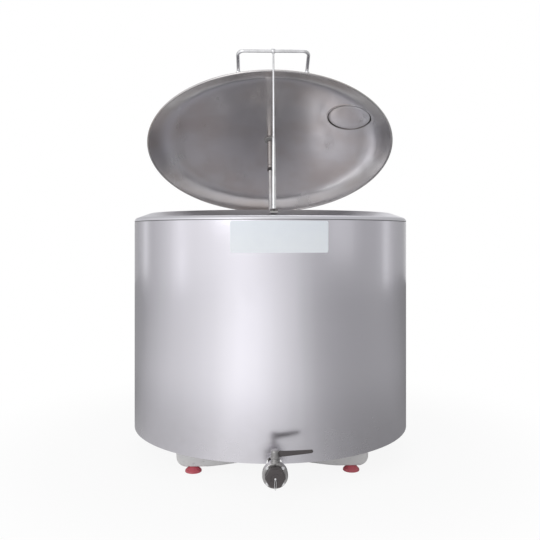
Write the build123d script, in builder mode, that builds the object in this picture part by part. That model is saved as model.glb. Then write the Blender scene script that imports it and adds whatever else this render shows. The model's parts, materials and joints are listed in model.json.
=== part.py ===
"""Vertical milk cooling tank with a tilting lid, a stirrer, an outlet valve and a condensing unit behind.

Millimetres, +Z up. The origin is on the tank's axis at floor level, and the front with the outlet
faces -Y. The lid is modelled propped open on its rod, which is the rest pose.
"""

import os
from math import atan2, cos, degrees, hypot, radians, sin, sqrt, tan

from build123d import *

# Shell and deck
shell_radius = 550.0
shell_sheet = 1.5
shell_bottom_z = 97.0
shell_top_z = 905.0
shell_return = 16.0
deck_sheet = 2.0
deck_groove = 2.0
deck_tongue = 14.0
deck_slope = 19.5
shoulder_radius = 16.0
opening_radius = 478.0
opening_roll = 8.0

# Milk vessel
vessel_sheet = 2.0
vessel_floor_z = 160.0
vessel_floor_slope = 3.0
vessel_corner = 25.0
sump_y = -405.0
sump_radius = 36.0
sump_sheet = 1.5
pipe_radius = 20.5
pipe_sheet = 1.5
outlet_z = 96.0
evaporator_radius = 330.0
evaporator_sheet = 6.0
bottom_plate_sheet = 2.0

# Base frame
beam_height = 75.0
beam_half_length = 346.0
beam_corner = 30.0
beam_sheet = 4.0
beam_flange = 38.0
front_beam_y = -357.0
mid_beam_y = 340.0
unit_beam_y = 940.0
rail_x = 286.0
rail_width = 40.0
rail_height = 40.0
rail_wall = 3.0
foot_radius = 30.0
foot_dome = 8.0
foot_bolt_radius = 5.0
foot_head_radius = 11.0
foot_head_height = 6.0

# Lid, in its own frame: the hinge axis is the origin, y runs from the front to the hinge, z is up
lid_open_angle = 27.3
lid_radius = 513.0
lid_bead_radius = 4.0
lid_sheet = 1.5
lid_band_radius = 437.0
lid_band_height = 36.0
lid_crown_height = 66.0
lid_to_hinge = 584.0
lid_seat_gap = 0.3
handle_reach = 592.5
handle_width = 246.0
handle_rod_radius = 6.0
handle_bend = 22.0
handle_height = 14.0
hinge_pin_radius = 7.0
hinge_half_width = 90.0
hinge_ear = 6.0
hinge_ear_radius = 16.0
hinge_arm_width = 30.0
hinge_gap = 0.5
pin_clearance = 0.05
hatch_x = 315.0
hatch_forward = 186.0
hatch_radius = 88.0
hatch_sheet = 1.5
hatch_drop = 28.0
hatch_rise = 26.0
hatch_cover_gap = 0.5
hatch_cover_lip = 12.0
hatch_knob_radius = 14.0
hatch_knob_height = 26.0

# Stirrer and its drive
drive_plate_size = 150.0
drive_plate_sheet = 6.0
gearbox_radius = 52.0
gearbox_height = 62.0
motor_radius = 46.0
motor_height = 110.0
motor_fins = 16
fin_depth = 3.5
cowl_radius = 50.0
cowl_height = 34.0
drive_bolt_radius = 4.0
sleeve_radius = 10.5
sleeve_length = 146.0
collar_radius = 12.0
collar_length = 12.0
shaft_radius = 8.5
shaft_bore_gap = 4.0
paddle_z = 225.0
paddle_span = 400.0
paddle_height = 80.0
paddle_sheet = 3.0
paddle_pitch = 40.0
paddle_hub_radius = 16.0

# Prop rod
prop_foot_y = -531.0
prop_foot_z = 941.0
prop_rod_radius = 4.0
prop_tube_radius = 7.0
prop_tube_length = 235.0
prop_eye_radius = 11.0
prop_eye_width = 12.0
prop_tip_length = 14.0
prop_tip_radius = 7.0
prop_seat_width = 26.0
prop_seat_sheet = 3.0
prop_seat_reach = 12.0

# Outlet valve
valve_y = -646.0
valve_radius = 41.0
valve_neck_radius = 27.0
valve_half_length = 32.0
valve_flange = 14.0
valve_bore = 19.0
liner_radius = 22.0
liner_half_length = 8.0
disc_gap = 0.15
disc_thickness = 4.0
stem_radius = 6.0
stem_neck_radius = 12.0
stem_neck_top = 52.0
lever_length = 122.0
lever_sheet = 6.0
lever_root = 20.0
lever_tip = 10.0
lever_hub_radius = 15.0
lever_hub_height = 26.0
lever_rise = 8.0
thread_radius = 25.0
thread_length = 24.0
cap_flats = 58.0
cap_length = 24.0
cap_wall = 3.2
cap_gap = 0.3
valve_bolt_radius = 3.0
valve_bolt_head = 5.2
valve_bolt_circle = 35.0

# Condensing unit
tray_front_y = 566.0
tray_back_y = 985.0
tray_half_width = 306.0
tray_sheet = 3.0
tray_lip = 20.0
compressor_x = -140.0
compressor_y = 770.0
compressor_radius = 85.0
compressor_height = 215.0
compressor_dome = 45.0
compressor_seam = 5.0
compressor_base_size = 190.0
mount_height = 14.0
condenser_x = 110.0
condenser_y = 925.0
condenser_width = 320.0
condenser_height = 300.0
condenser_depth = 66.0
condenser_sheet = 2.0
fin_pitch = 14.0
fin_sheet = 0.8
fan_radius = 122.0
fan_blade_count = 5
fan_blade_chord = 62.0
fan_blade_pitch = 28.0
fan_hub_radius = 26.0
fan_hub_length = 22.0
shroud_depth = 38.0
shroud_gap = 5.0
fan_motor_radius = 36.0
fan_motor_length = 60.0
fan_shaft_radius = 4.0
receiver_x = -215.0
receiver_y = 918.0
receiver_radius = 45.0
receiver_height = 200.0
receiver_dome = 18.0
drier_x = -262.0
drier_radius = 22.0
drier_length = 110.0
suction_radius = 8.0
liquid_radius = 5.0
line_hole_gap = 4.0
suction_x = -60.0
suction_z = 190.0
liquid_x = -100.0
liquid_z = 150.0
box_width = 200.0
box_height = 170.0
box_depth = 100.0
box_z = 560.0
box_corner = 10.0
box_lid_depth = 30.0
box_stand_off = 16.0
gland_radius = 11.0
gland_length = 22.0
knob_radius = 17.0
knob_length = 18.0
knob_shaft_radius = 3.0

touch = 0.3

# Worked-out places
slope_rise = tan(radians(deck_slope))
shoulder_tangent = shoulder_radius * tan(radians((90 - deck_slope) / 2))
shoulder_corner_z = shell_top_z + deck_groove + shoulder_tangent + 0.2


def deck_height(radius):
    """Height of the deck's sloping top at a radius."""
    return shoulder_corner_z + (shell_radius - radius) * slope_rise


vessel_top_z = deck_height(opening_radius + opening_roll) - opening_roll
bead_path_radius = lid_radius - lid_bead_radius
hinge_z = deck_height(bead_path_radius) + (lid_bead_radius + lid_seat_gap) / cos(radians(deck_slope))
hinge_y = lid_to_hinge
lid_frame = Location((0, hinge_y, hinge_z), (-lid_open_angle, 0, 0))
crown_radius = (lid_band_radius**2 + (lid_crown_height - lid_band_height) ** 2) / (
    2 * (lid_crown_height - lid_band_height)
)
floor_normal = (0, -sin(radians(vessel_floor_slope)), cos(radians(vessel_floor_slope)))
floor_plane = Plane(origin=(0, 0, vessel_floor_z), z_dir=floor_normal)


def save(part, label):
    """Names a finished piece and writes it."""
    part.label = label
    export_step(part, f"parts/{label}.step")


def on_lid(x, y, z, turn=(0, 0, 0)):
    """A plane at a place in the lid's own frame, tilted with the open lid."""
    return Plane(lid_frame * Location((x, y, z), turn))


lid_up = Axis((0, 0, 0), tuple(on_lid(0, 0, 0).z_dir))


def lid_point(x, y, z):
    """Where a point of the lid's frame is when the lid stands open."""
    return (lid_frame * Location((x, y, z))).position


def lid_height(radius):
    """Height of the lid's outer face over its rim plane."""
    if radius > lid_band_radius:
        return lid_band_height * (bead_path_radius - radius) / (bead_path_radius - lid_band_radius)
    return lid_crown_height - crown_radius + sqrt(crown_radius**2 - radius**2)


def vessel_volume(radius, drop, corner):
    """The round, slope-bottomed space of the milk vessel, grown by a wall."""
    with BuildPart() as volume:
        with BuildSketch(Plane.XY.offset(vessel_top_z)):
            Circle(radius)
        extrude(amount=-vessel_top_z)
        split(bisect_by=floor_plane.offset(-drop), keep=Keep.TOP)
        fillet(volume.edges().sort_by(Axis.Z)[0], corner)
    return volume.part


os.makedirs("parts", exist_ok=True)

# Outer shell: rolled sheet with a return at its foot, notched for the outlet pipe
pipe_notch = pipe_radius + 6.0
with BuildPart() as outer_shell:
    with BuildSketch(Plane.XZ):
        with BuildLine():
            Polyline(
                (shell_radius, shell_bottom_z),
                (shell_radius, shell_top_z),
                (shell_radius - shell_sheet, shell_top_z),
                (shell_radius - shell_sheet, shell_bottom_z + shell_sheet),
                (shell_radius - shell_return, shell_bottom_z + shell_sheet),
                (shell_radius - shell_return, shell_bottom_z),
                close=True,
            )
        make_face()
    revolve(axis=Axis.Z)
    with BuildSketch(Plane.XZ.offset(shell_radius - 60)):
        with Locations((0, outlet_z)):
            Circle(pipe_notch)
    extrude(amount=100, mode=Mode.SUBTRACT)
    with BuildSketch(Plane.XZ.offset(-shell_radius - 20)):
        with Locations((suction_x, suction_z)):
            Circle(suction_radius + line_hole_gap)
        with Locations((liquid_x, liquid_z)):
            Circle(liquid_radius + line_hole_gap)
    extrude(amount=60, mode=Mode.SUBTRACT)
save(outer_shell.part, "outer_shell")

# Bottom plate, resting on the shell's return
plate_z = shell_bottom_z + shell_sheet
with BuildPart() as bottom_plate:
    with BuildSketch(Plane.XY.offset(plate_z)):
        Circle(shell_radius - shell_sheet)
        with Locations((0, sump_y)):
            Circle(sump_radius + 4, mode=Mode.SUBTRACT)
        with Locations((0, sump_y / 2 - shell_radius / 2)):
            Rectangle(2 * pipe_notch, shell_radius + sump_y, mode=Mode.SUBTRACT)
    extrude(amount=bottom_plate_sheet)
save(bottom_plate.part, "bottom_plate")

# Top deck: shoulder, slope and rolled opening edge
tongue_radius = shell_radius - shell_sheet - 0.2
with BuildPart() as top_deck:
    with BuildSketch(Plane.XZ):
        with BuildLine() as deck_outline:
            FilletPolyline(
                (shell_radius, shell_top_z + deck_groove),
                (shell_radius, shoulder_corner_z),
                (opening_radius + 0.5 * opening_roll, deck_height(opening_radius + 0.5 * opening_roll)),
                radius=shoulder_radius,
            )
            Polyline(
                (opening_radius + 0.5 * opening_roll, deck_height(opening_radius + 0.5 * opening_roll)),
                (opening_radius, deck_height(opening_radius + 0.5 * opening_roll) - 3),
                (opening_radius, vessel_top_z),
                (opening_radius + deck_sheet, vessel_top_z),
                (opening_radius + deck_sheet, deck_height(opening_radius + opening_roll) - deck_sheet - 2.5),
                (opening_radius + opening_roll, deck_height(opening_radius + opening_roll) - deck_sheet * 1.1),
            )
            FilletPolyline(
                (opening_radius + opening_roll, deck_height(opening_radius + opening_roll) - deck_sheet * 1.1),
                (tongue_radius - deck_sheet, deck_height(tongue_radius - deck_sheet) - deck_sheet * 1.1),
                (tongue_radius - deck_sheet, shell_top_z - deck_tongue),
                radius=shoulder_radius - deck_sheet - 1,
            )
            Polyline(
                (tongue_radius - deck_sheet, shell_top_z - deck_tongue),
                (tongue_radius, shell_top_z - deck_tongue),
                (tongue_radius, shell_top_z + deck_groove),
                (shell_radius, shell_top_z + deck_groove),
            )
        make_face()
    revolve(axis=Axis.Z)
save(top_deck.part, "top_deck")

# Milk vessel
sump_hole = sump_radius - sump_sheet
with BuildPart() as inner_vessel:
    add(vessel_volume(opening_radius + vessel_sheet, vessel_sheet, vessel_corner + vessel_sheet))
    add(vessel_volume(opening_radius, 0, vessel_corner), mode=Mode.SUBTRACT)
    with BuildSketch(Plane.XY.offset(outlet_z)):
        with Locations((0, sump_y)):
            Circle(sump_hole)
    extrude(amount=vessel_floor_z, mode=Mode.SUBTRACT)
save(inner_vessel.part, "inner_vessel")

# Evaporator plate under the vessel floor, with a round channel pattern pressed in its lower face
with BuildPart() as evaporator_plate:
    with BuildSketch(floor_plane.offset(-vessel_sheet)):
        Circle(evaporator_radius)
    extrude(amount=-evaporator_sheet)
    with BuildSketch(floor_plane.offset(-vessel_sheet - evaporator_sheet)):
        for ring_radius in range(60, int(evaporator_radius), 60):
            Circle(ring_radius + 4)
            Circle(ring_radius - 4, mode=Mode.SUBTRACT)
    extrude(amount=2, mode=Mode.SUBTRACT)
save(evaporator_plate.part, "evaporator_plate")

# Outlet: round sump under the vessel floor and a pipe forwards under the shell's edge
sump_bottom_z = outlet_z - pipe_radius - sump_sheet
flange_y = valve_y + valve_half_length
with BuildPart() as outlet_pipe:
    with BuildSketch(Plane.XY.offset(sump_bottom_z)):
        with Locations((0, sump_y)):
            Circle(sump_radius)
    extrude(amount=vessel_floor_z - sump_bottom_z)
    split(bisect_by=floor_plane.offset(-vessel_sheet), keep=Keep.BOTTOM)
    with BuildSketch(Plane.XZ.offset(-sump_y)):
        with Locations((0, outlet_z)):
            Circle(pipe_radius)
    extrude(amount=sump_y - flange_y)
    with BuildSketch(Plane.XY.offset(sump_bottom_z + sump_sheet)):
        with Locations((0, sump_y)):
            Circle(sump_hole)
    extrude(amount=vessel_floor_z, mode=Mode.SUBTRACT)
    with BuildSketch(Plane.XZ.offset(-sump_y)):
        with Locations((0, outlet_z)):
            Circle(pipe_radius - pipe_sheet)
    extrude(amount=sump_y - flange_y, mode=Mode.SUBTRACT)
save(outlet_pipe.part, "outlet_pipe")

# Insulation between vessel and shell
foam_bottom_z = plate_z + bottom_plate_sheet
foam_radius = tongue_radius - deck_sheet - touch
with BuildPart() as insulation_foam:
    with BuildSketch(Plane.XY.offset(foam_bottom_z)):
        Circle(foam_radius)
    extrude(amount=shell_top_z - foam_bottom_z)
    vessel_outside = vessel_volume(opening_radius + vessel_sheet, vessel_sheet, vessel_corner + vessel_sheet)
    add(vessel_outside, mode=Mode.SUBTRACT)
    with BuildSketch(floor_plane.offset(-vessel_sheet)):
        Circle(evaporator_radius)
    extrude(amount=-evaporator_sheet, mode=Mode.SUBTRACT)
    with BuildSketch(Plane.XY.offset(foam_bottom_z)):
        with Locations((0, sump_y)):
            Circle(sump_radius + 2)
        with Locations((0, (sump_y - shell_radius) / 2)):
            Rectangle(2 * pipe_notch, shell_radius + sump_y)
    extrude(amount=outlet_z + pipe_notch - foam_bottom_z, mode=Mode.SUBTRACT)
    with BuildSketch(Plane.XY.offset(foam_bottom_z)):
        with Locations((0, sump_y)):
            Circle(sump_radius + touch)
    extrude(amount=vessel_floor_z - foam_bottom_z, mode=Mode.SUBTRACT)
    with BuildSketch(Plane.XZ.offset(-shell_radius)):
        with Locations((suction_x, suction_z)):
            Circle(suction_radius + touch)
        with Locations((liquid_x, liquid_z)):
            Circle(liquid_radius + touch)
    extrude(amount=shell_radius - opening_radius - 12, mode=Mode.SUBTRACT)
save(insulation_foam.part, "insulation_foam")


# Base frame
def beam(front_y, facing):
    """A folded beam: a web with rounded lower corners and flanges turned away from its face."""
    low = shell_bottom_z - beam_height
    with BuildPart() as body:
        with BuildSketch(Plane.XZ.offset(-front_y)) as web:
            with Locations((0, low + beam_height / 2)):
                Rectangle(2 * beam_half_length, beam_height)
            fillet(web.vertices().group_by(Axis.Z)[0], beam_corner)
        extrude(amount=-facing * beam_flange)
        with BuildSketch(Plane.XZ.offset(-front_y - facing * beam_sheet)) as hollow:
            with Locations((0, low + beam_height / 2)):
                Rectangle(2 * beam_half_length - 2 * beam_sheet, beam_height - 2 * beam_sheet)
            fillet(hollow.vertices().group_by(Axis.Z)[0], beam_corner - beam_sheet)
        extrude(amount=-facing * beam_flange, mode=Mode.SUBTRACT)
        with BuildSketch(Plane.XY.offset(low)):
            with Locations(*[(side * rail_x, front_y + facing * beam_flange / 2) for side in (-1, 1)]):
                Circle(foot_bolt_radius + 0.3)
        extrude(amount=beam_sheet, mode=Mode.SUBTRACT)
    return body.part


save(beam(front_beam_y, 1), "front_beam")
with BuildPart() as rear_beams:
    add(beam(mid_beam_y, 1))
    add(beam(unit_beam_y, -1))
save(rear_beams.part, "rear_beams")

rail_ends = (
    (front_beam_y + beam_flange, mid_beam_y),
    (mid_beam_y + beam_flange, unit_beam_y - beam_flange),
)


# Box-section rails between the beams, under the tank and under the unit
with BuildPart() as base_rails:
    for start, end in rail_ends:
        with BuildSketch(Plane.XZ.offset(-start)):
            with Locations(*[(side * rail_x, shell_bottom_z - rail_height / 2) for side in (-1, 1)]):
                Rectangle(rail_width, rail_height)
                Rectangle(rail_width - 2 * rail_wall, rail_height - 2 * rail_wall, mode=Mode.SUBTRACT)
        extrude(amount=-(end - start))
save(base_rails.part, "base_rails")

foot_height = shell_bottom_z - beam_height
foot_places = [
    (side * rail_x, y)
    for side in (-1, 1)
    for y in (front_beam_y + beam_flange / 2, mid_beam_y + beam_flange / 2, unit_beam_y - beam_flange / 2)
]
with BuildPart() as rubber_feet:
    for x, y in foot_places:
        with BuildSketch(Plane((x, y, 0), x_dir=(1, 0, 0), z_dir=(0, -1, 0))):
            with BuildLine():
                Line((0, 0), (foot_radius - 2, 0))
                Line((foot_radius - 2, 0), (foot_radius, 2))
                Line((foot_radius, 2), (foot_radius, foot_height - foot_dome))
                ThreePointArc(
                    (foot_radius, foot_height - foot_dome),
                    (foot_radius - 0.29 * foot_dome, foot_height - 0.29 * foot_dome),
                    (foot_radius - foot_dome, foot_height),
                )
                Line((foot_radius - foot_dome, foot_height), (foot_bolt_radius, foot_height))
                Line((foot_bolt_radius, foot_height), (foot_bolt_radius, 8))
                Line((foot_bolt_radius, 8), (0, 8))
                Line((0, 8), (0, 0))
            make_face()
        revolve(axis=Axis((x, y, 0), (0, 0, 1)))
save(rubber_feet.part, "rubber_feet")

with BuildPart() as foot_bolts:
    with BuildSketch(Plane.XY.offset(8)):
        with Locations(*foot_places):
            Circle(foot_bolt_radius)
    extrude(amount=foot_height + beam_sheet - 8)
    with BuildSketch(Plane.XY.offset(foot_height + beam_sheet)):
        with Locations(*foot_places):
            RegularPolygon(foot_head_radius, 6)
    extrude(amount=foot_head_height)
save(foot_bolts.part, "foot_bolts")

# Hinge bracket on the shell's back, and its pin
bracket_low_z = 820.0
with BuildPart() as hinge_bracket:
    with BuildSketch(Plane.XY.offset(bracket_low_z)):
        with BuildLine():
            half_angle = degrees(atan2(hinge_half_width + 32, shell_radius))
            CenterArc((0, 0), shell_radius, 90 - half_angle, 2 * half_angle)
            CenterArc((0, 0), shell_radius + hinge_ear, 90 - half_angle, 2 * half_angle)
            for turn in (90 - half_angle, 90 + half_angle):
                direction = Vector(cos(radians(turn)), sin(radians(turn)))
                Line(direction * shell_radius, direction * (shell_radius + hinge_ear))
        make_face()
    extrude(amount=shell_top_z - bracket_low_z - 6)
    ear_offset = hinge_arm_width / 2 + hinge_gap + hinge_ear / 2
    ear_centres = [arm + ear for arm in (-hinge_half_width, hinge_half_width) for ear in (-ear_offset, ear_offset)]
    for ear_x in ear_centres:
        with BuildSketch(Plane.YZ.offset(ear_x - hinge_ear / 2)):
            with BuildLine():
                Polyline(
                    (shell_radius - 20, bracket_low_z + 4),
                    (hinge_y + hinge_ear_radius, hinge_z - 24),
                    (hinge_y + hinge_ear_radius, hinge_z),
                )
                ThreePointArc(
                    (hinge_y + hinge_ear_radius, hinge_z),
                    (hinge_y, hinge_z + hinge_ear_radius),
                    (hinge_y - hinge_ear_radius, hinge_z),
                )
                Polyline(
                    (hinge_y - hinge_ear_radius, hinge_z),
                    (shell_radius + 4, shell_top_z - 8),
                    (shell_radius - 20, shell_top_z - 8),
                    (shell_radius - 20, bracket_low_z + 4),
                )
            make_face()
        extrude(amount=hinge_ear)
    with BuildSketch(Plane.XY.offset(bracket_low_z - 20)):
        Circle(shell_radius)
    extrude(amount=200, mode=Mode.SUBTRACT)
    with BuildSketch(Plane.YZ.offset(-shell_radius / 2)):
        with Locations((hinge_y, hinge_z)):
            Circle(hinge_pin_radius)
    extrude(amount=shell_radius, mode=Mode.SUBTRACT)
save(hinge_bracket.part, "hinge_bracket")

pin_half = hinge_arm_width / 2 + hinge_gap + hinge_ear + 4
with BuildPart() as hinge_pins:
    for side in (-1, 1):
        with BuildSketch(Plane.YZ.offset(side * hinge_half_width - pin_half)):
            with Locations((hinge_y, hinge_z)):
                Circle(hinge_pin_radius)
        extrude(amount=2 * pin_half)
save(hinge_pins.part, "hinge_pins")

# Seat on the deck's front slope for the prop rod's foot: a bent tab with its top along the slope
lid_centre_y = -lid_to_hinge
eye_centre = lid_point(0, lid_centre_y - handle_reach, handle_height)
prop_lean = atan2(eye_centre.Y - prop_foot_y, eye_centre.Z - prop_foot_z)
tip_heel_y = prop_foot_y + prop_tip_radius * cos(prop_lean)
tip_heel_z = prop_foot_z - prop_tip_radius * sin(prop_lean)
seat_front_y = prop_foot_y - prop_tip_radius
seat_back_y = prop_foot_y + prop_seat_reach
seat_leg_y = seat_back_y - prop_seat_sheet
seat_thickness = prop_seat_sheet / cos(radians(deck_slope))


def seat_top(y):
    """Height of the seat's top, which runs along the deck just under the heel of the rod's tip."""
    return tip_heel_z - touch / cos(radians(deck_slope)) + (y - tip_heel_y) * slope_rise


with BuildPart() as prop_seat:
    with BuildSketch(Plane.YZ.offset(-prop_seat_width / 2)):
        with BuildLine():
            Polyline(
                (seat_front_y, seat_top(seat_front_y)),
                (seat_back_y, seat_top(seat_back_y)),
                (seat_back_y, deck_height(-seat_back_y)),
                (seat_leg_y, deck_height(-seat_leg_y)),
                (seat_leg_y, seat_top(seat_leg_y) - seat_thickness),
                (seat_front_y, seat_top(seat_front_y) - seat_thickness),
                close=True,
            )
        make_face()
    extrude(amount=prop_seat_width)
save(prop_seat.part, "prop_seat")

# Lid shell: conical band and shallow crown in one sheet
lid_axis = Axis(lid_point(0, lid_centre_y, 0), tuple(on_lid(0, 0, 0).z_dir))


def lid_profile_plane():
    """Radius to the right and height up, in the lid's middle plane."""
    return on_lid(0, lid_centre_y, 0, (90, 0, 0))


with BuildPart() as lid_shell:
    with BuildSketch(lid_profile_plane()) as section:
        with BuildLine():
            rim = (bead_path_radius, 0)
            rim_under = (bead_path_radius, -lid_sheet)
            knuckle = (lid_band_radius, lid_band_height)
            half = lid_band_radius / 2
            Line(rim, knuckle)
            ThreePointArc(knuckle, (half, lid_height(half)), (0, lid_crown_height))
            Line((0, lid_crown_height), (0, lid_crown_height - lid_sheet))
            ThreePointArc(
                (0, lid_crown_height - lid_sheet),
                (half, lid_height(half) - lid_sheet),
                (lid_band_radius, lid_band_height - lid_sheet),
            )
            Line((lid_band_radius, lid_band_height - lid_sheet), rim_under)
            Line(rim_under, rim)
        make_face()
    revolve(axis=lid_axis)
    with BuildSketch(on_lid(hatch_x, lid_centre_y - hatch_forward, -10)):
        Circle(hatch_radius)
    extrude(amount=lid_crown_height + 40, mode=Mode.SUBTRACT)
    with BuildSketch(on_lid(0, lid_centre_y, 0)):
        Circle(shaft_radius + shaft_bore_gap + 4)
    extrude(amount=lid_crown_height + 40, mode=Mode.SUBTRACT)
    with BuildSketch(lid_profile_plane()):
        with Locations((bead_path_radius, 0)):
            Circle(lid_bead_radius)
    revolve(axis=lid_axis, mode=Mode.SUBTRACT)
save(lid_shell.part, "lid_shell")

# Rolled bead round the lid's edge
with BuildPart() as lid_bead:
    with BuildSketch(lid_profile_plane()):
        with Locations((bead_path_radius, 0)):
            Circle(lid_bead_radius)
            Circle(lid_bead_radius - 1.2, mode=Mode.SUBTRACT)
    revolve(axis=lid_axis)
save(lid_bead.part, "lid_bead")

# Lifting handle: a bent round bar whose legs are welded to the lid's front edge
leg_x = handle_width / 2
rim_at_leg = sqrt(bead_path_radius**2 - leg_x**2)
leg_end = rim_at_leg - 14
with BuildPart() as handle:
    with BuildLine(on_lid(0, lid_centre_y, handle_height)) as bar_path:
        FilletPolyline(
            (-leg_x, -leg_end),
            (-leg_x, -handle_reach),
            (leg_x, -handle_reach),
            (leg_x, -leg_end),
            radius=handle_bend,
        )
    with BuildSketch(Plane(bar_path.line @ 0, z_dir=bar_path.line % 0)):
        Circle(handle_rod_radius)
    sweep()
save(handle.part, "handle")


def lid_cover_volume(rise):
    """Everything under the lid's outer face, raised by a gap."""
    with BuildPart() as volume:
        with BuildSketch(lid_profile_plane()):
            with BuildLine():
                half = lid_band_radius / 2
                Polyline(
                    (0, -30),
                    (bead_path_radius, -30),
                    (bead_path_radius, rise),
                    (lid_band_radius, lid_band_height + rise),
                )
                ThreePointArc(
                    (lid_band_radius, lid_band_height + rise),
                    (half, lid_height(half) + rise),
                    (0, lid_crown_height + rise),
                )
                Line((0, lid_crown_height + rise), (0, -30))
            make_face()
        revolve(axis=lid_axis)
    return volume.part


# Hinge arms, bent from flat bar with an eye for the pin, welded on the lid's back
arm_thickness = 6.0
eye_radius = hinge_pin_radius + arm_thickness
with BuildPart() as hinge_arms:
    for side in (-1, 1):
        with BuildSketch(on_lid(side * hinge_half_width - hinge_arm_width / 2, 0, 0, (90, 90, 0))):
            with BuildLine():
                Polyline(
                    (0, eye_radius),
                    (-lid_to_hinge + rim_at_leg, eye_radius),
                    (-lid_to_hinge + lid_band_radius - 14, lid_band_height + 2 * arm_thickness),
                    (-lid_to_hinge + lid_band_radius - 14, lid_band_height - arm_thickness),
                    (-lid_to_hinge + bead_path_radius, lid_bead_radius + touch),
                    (-eye_radius, lid_bead_radius + touch),
                    (0, 0),
                    close=True,
                )
            make_face()
            Circle(eye_radius)
        extrude(amount=hinge_arm_width)
    add(lid_cover_volume(touch), mode=Mode.SUBTRACT)
    with BuildSketch(on_lid(-shell_radius / 2, 0, 0, (90, 90, 0))):
        Circle(hinge_pin_radius + pin_clearance)
    extrude(amount=shell_radius, mode=Mode.SUBTRACT)
save(hinge_arms.part, "hinge_arms")

# Collar of the milk inlet in the lid, with its lip hanging below the sheet
hatch_y = lid_centre_y - hatch_forward
hatch_level = lid_height(hypot(hatch_x, hatch_forward))
with BuildPart() as hatch_collar:
    with BuildSketch(on_lid(hatch_x, hatch_y, hatch_level - hatch_drop)):
        Circle(hatch_radius)
        Circle(hatch_radius - hatch_sheet, mode=Mode.SUBTRACT)
    extrude(amount=hatch_drop + hatch_rise)
save(hatch_collar.part, "hatch_collar")

cover_top = hatch_level + hatch_rise + touch
cover_radius = hatch_radius + hatch_cover_gap + hatch_sheet
with BuildPart() as hatch_cover:
    with BuildSketch(on_lid(hatch_x, hatch_y, cover_top + hatch_sheet)):
        Circle(cover_radius)
    extrude(amount=-hatch_cover_lip)
    fillet(hatch_cover.edges().sort_by(lid_up)[-1], hatch_sheet)
    with BuildSketch(on_lid(hatch_x, hatch_y, cover_top)):
        Circle(cover_radius - hatch_sheet)
    extrude(amount=-hatch_cover_lip, mode=Mode.SUBTRACT)
save(hatch_cover.part, "hatch_cover")

with BuildPart() as hatch_knob:
    with BuildSketch(on_lid(hatch_x, hatch_y, cover_top + hatch_sheet, (90, 0, 0))):
        with BuildLine():
            Polyline((0, 0), (7, 0), (7, 8))
            Spline((7, 8), (hatch_knob_radius, 16), (8, hatch_knob_height - 1), (0, hatch_knob_height))
            Line((0, hatch_knob_height), (0, 0))
        make_face()
    revolve(axis=Axis(lid_point(hatch_x, hatch_y, 0), tuple(on_lid(0, 0, 0).z_dir)))
save(hatch_knob.part, "hatch_knob")

# Stirrer drive on the lid's crown
plate_low = lid_crown_height + touch
plate_top = plate_low + drive_plate_sheet
bolt_spacing = drive_plate_size - 24
with BuildPart() as drive_plate:
    with BuildSketch(on_lid(0, lid_centre_y, plate_low)):
        RectangleRounded(drive_plate_size, drive_plate_size, 12)
        Circle(shaft_radius + shaft_bore_gap, mode=Mode.SUBTRACT)
        with GridLocations(bolt_spacing, bolt_spacing, 2, 2):
            Circle(drive_bolt_radius + 0.3, mode=Mode.SUBTRACT)
    extrude(amount=drive_plate_sheet)
save(drive_plate.part, "drive_plate")

with BuildPart() as drive_bolts:
    with BuildSketch(on_lid(0, lid_centre_y, plate_low - 1)):
        with GridLocations(bolt_spacing, bolt_spacing, 2, 2):
            Circle(drive_bolt_radius)
    extrude(amount=drive_plate_sheet + 1)
    with BuildSketch(on_lid(0, lid_centre_y, plate_top)):
        with GridLocations(bolt_spacing, bolt_spacing, 2, 2):
            RegularPolygon(drive_bolt_radius * 1.85, 6)
    extrude(amount=drive_bolt_radius * 1.3)
save(drive_bolts.part, "drive_bolts")

gearbox_top = plate_top + gearbox_height
with BuildPart() as gearbox:
    with BuildSketch(on_lid(0, lid_centre_y, plate_top)):
        Circle(gearbox_radius)
    extrude(amount=gearbox_height)
    with BuildSketch(on_lid(0, lid_centre_y, plate_top)):
        Circle(gearbox_radius + 8)
    extrude(amount=8)
    chamfer(gearbox.faces().sort_by(lid_up)[-1].edges(), 5)
    with BuildSketch(on_lid(0, lid_centre_y, plate_top)):
        Circle(shaft_radius + pin_clearance)
    extrude(amount=gearbox_height / 2, mode=Mode.SUBTRACT)
save(gearbox.part, "gearbox")

motor_top = gearbox_top + motor_height
with BuildPart() as stirrer_motor:
    with BuildSketch(on_lid(0, lid_centre_y, gearbox_top)):
        Circle(motor_radius - fin_depth)
        with PolarLocations(motor_radius - fin_depth, motor_fins):
            Rectangle(2 * fin_depth, 3.5)
    extrude(amount=motor_height)
save(stirrer_motor.part, "stirrer_motor")

with BuildPart() as motor_cowl:
    with BuildSketch(on_lid(0, lid_centre_y, motor_top)):
        Circle(cowl_radius)
    extrude(amount=cowl_height)
    fillet(motor_cowl.faces().sort_by(lid_up)[-1].edges(), 10)
save(motor_cowl.part, "motor_cowl")

terminal_size = 64.0
terminal_depth = 30.0
with BuildPart() as terminal_box:
    with BuildSketch(on_lid(0, lid_centre_y + motor_radius, gearbox_top + motor_height / 2, (-90, 0, 0))):
        RectangleRounded(terminal_size, terminal_size, 6)
    extrude(amount=terminal_depth)
save(terminal_box.part, "terminal_box")

# Lip seal where the stirrer passes the lid
seal_top = lid_crown_height - lid_sheet - touch
with BuildPart() as shaft_seal:
    with BuildSketch(on_lid(0, lid_centre_y, seal_top)):
        Circle(2.2 * sleeve_radius)
        Circle(sleeve_radius + pin_clearance, mode=Mode.SUBTRACT)
    extrude(amount=-6)
save(shaft_seal.part, "shaft_seal")

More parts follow.
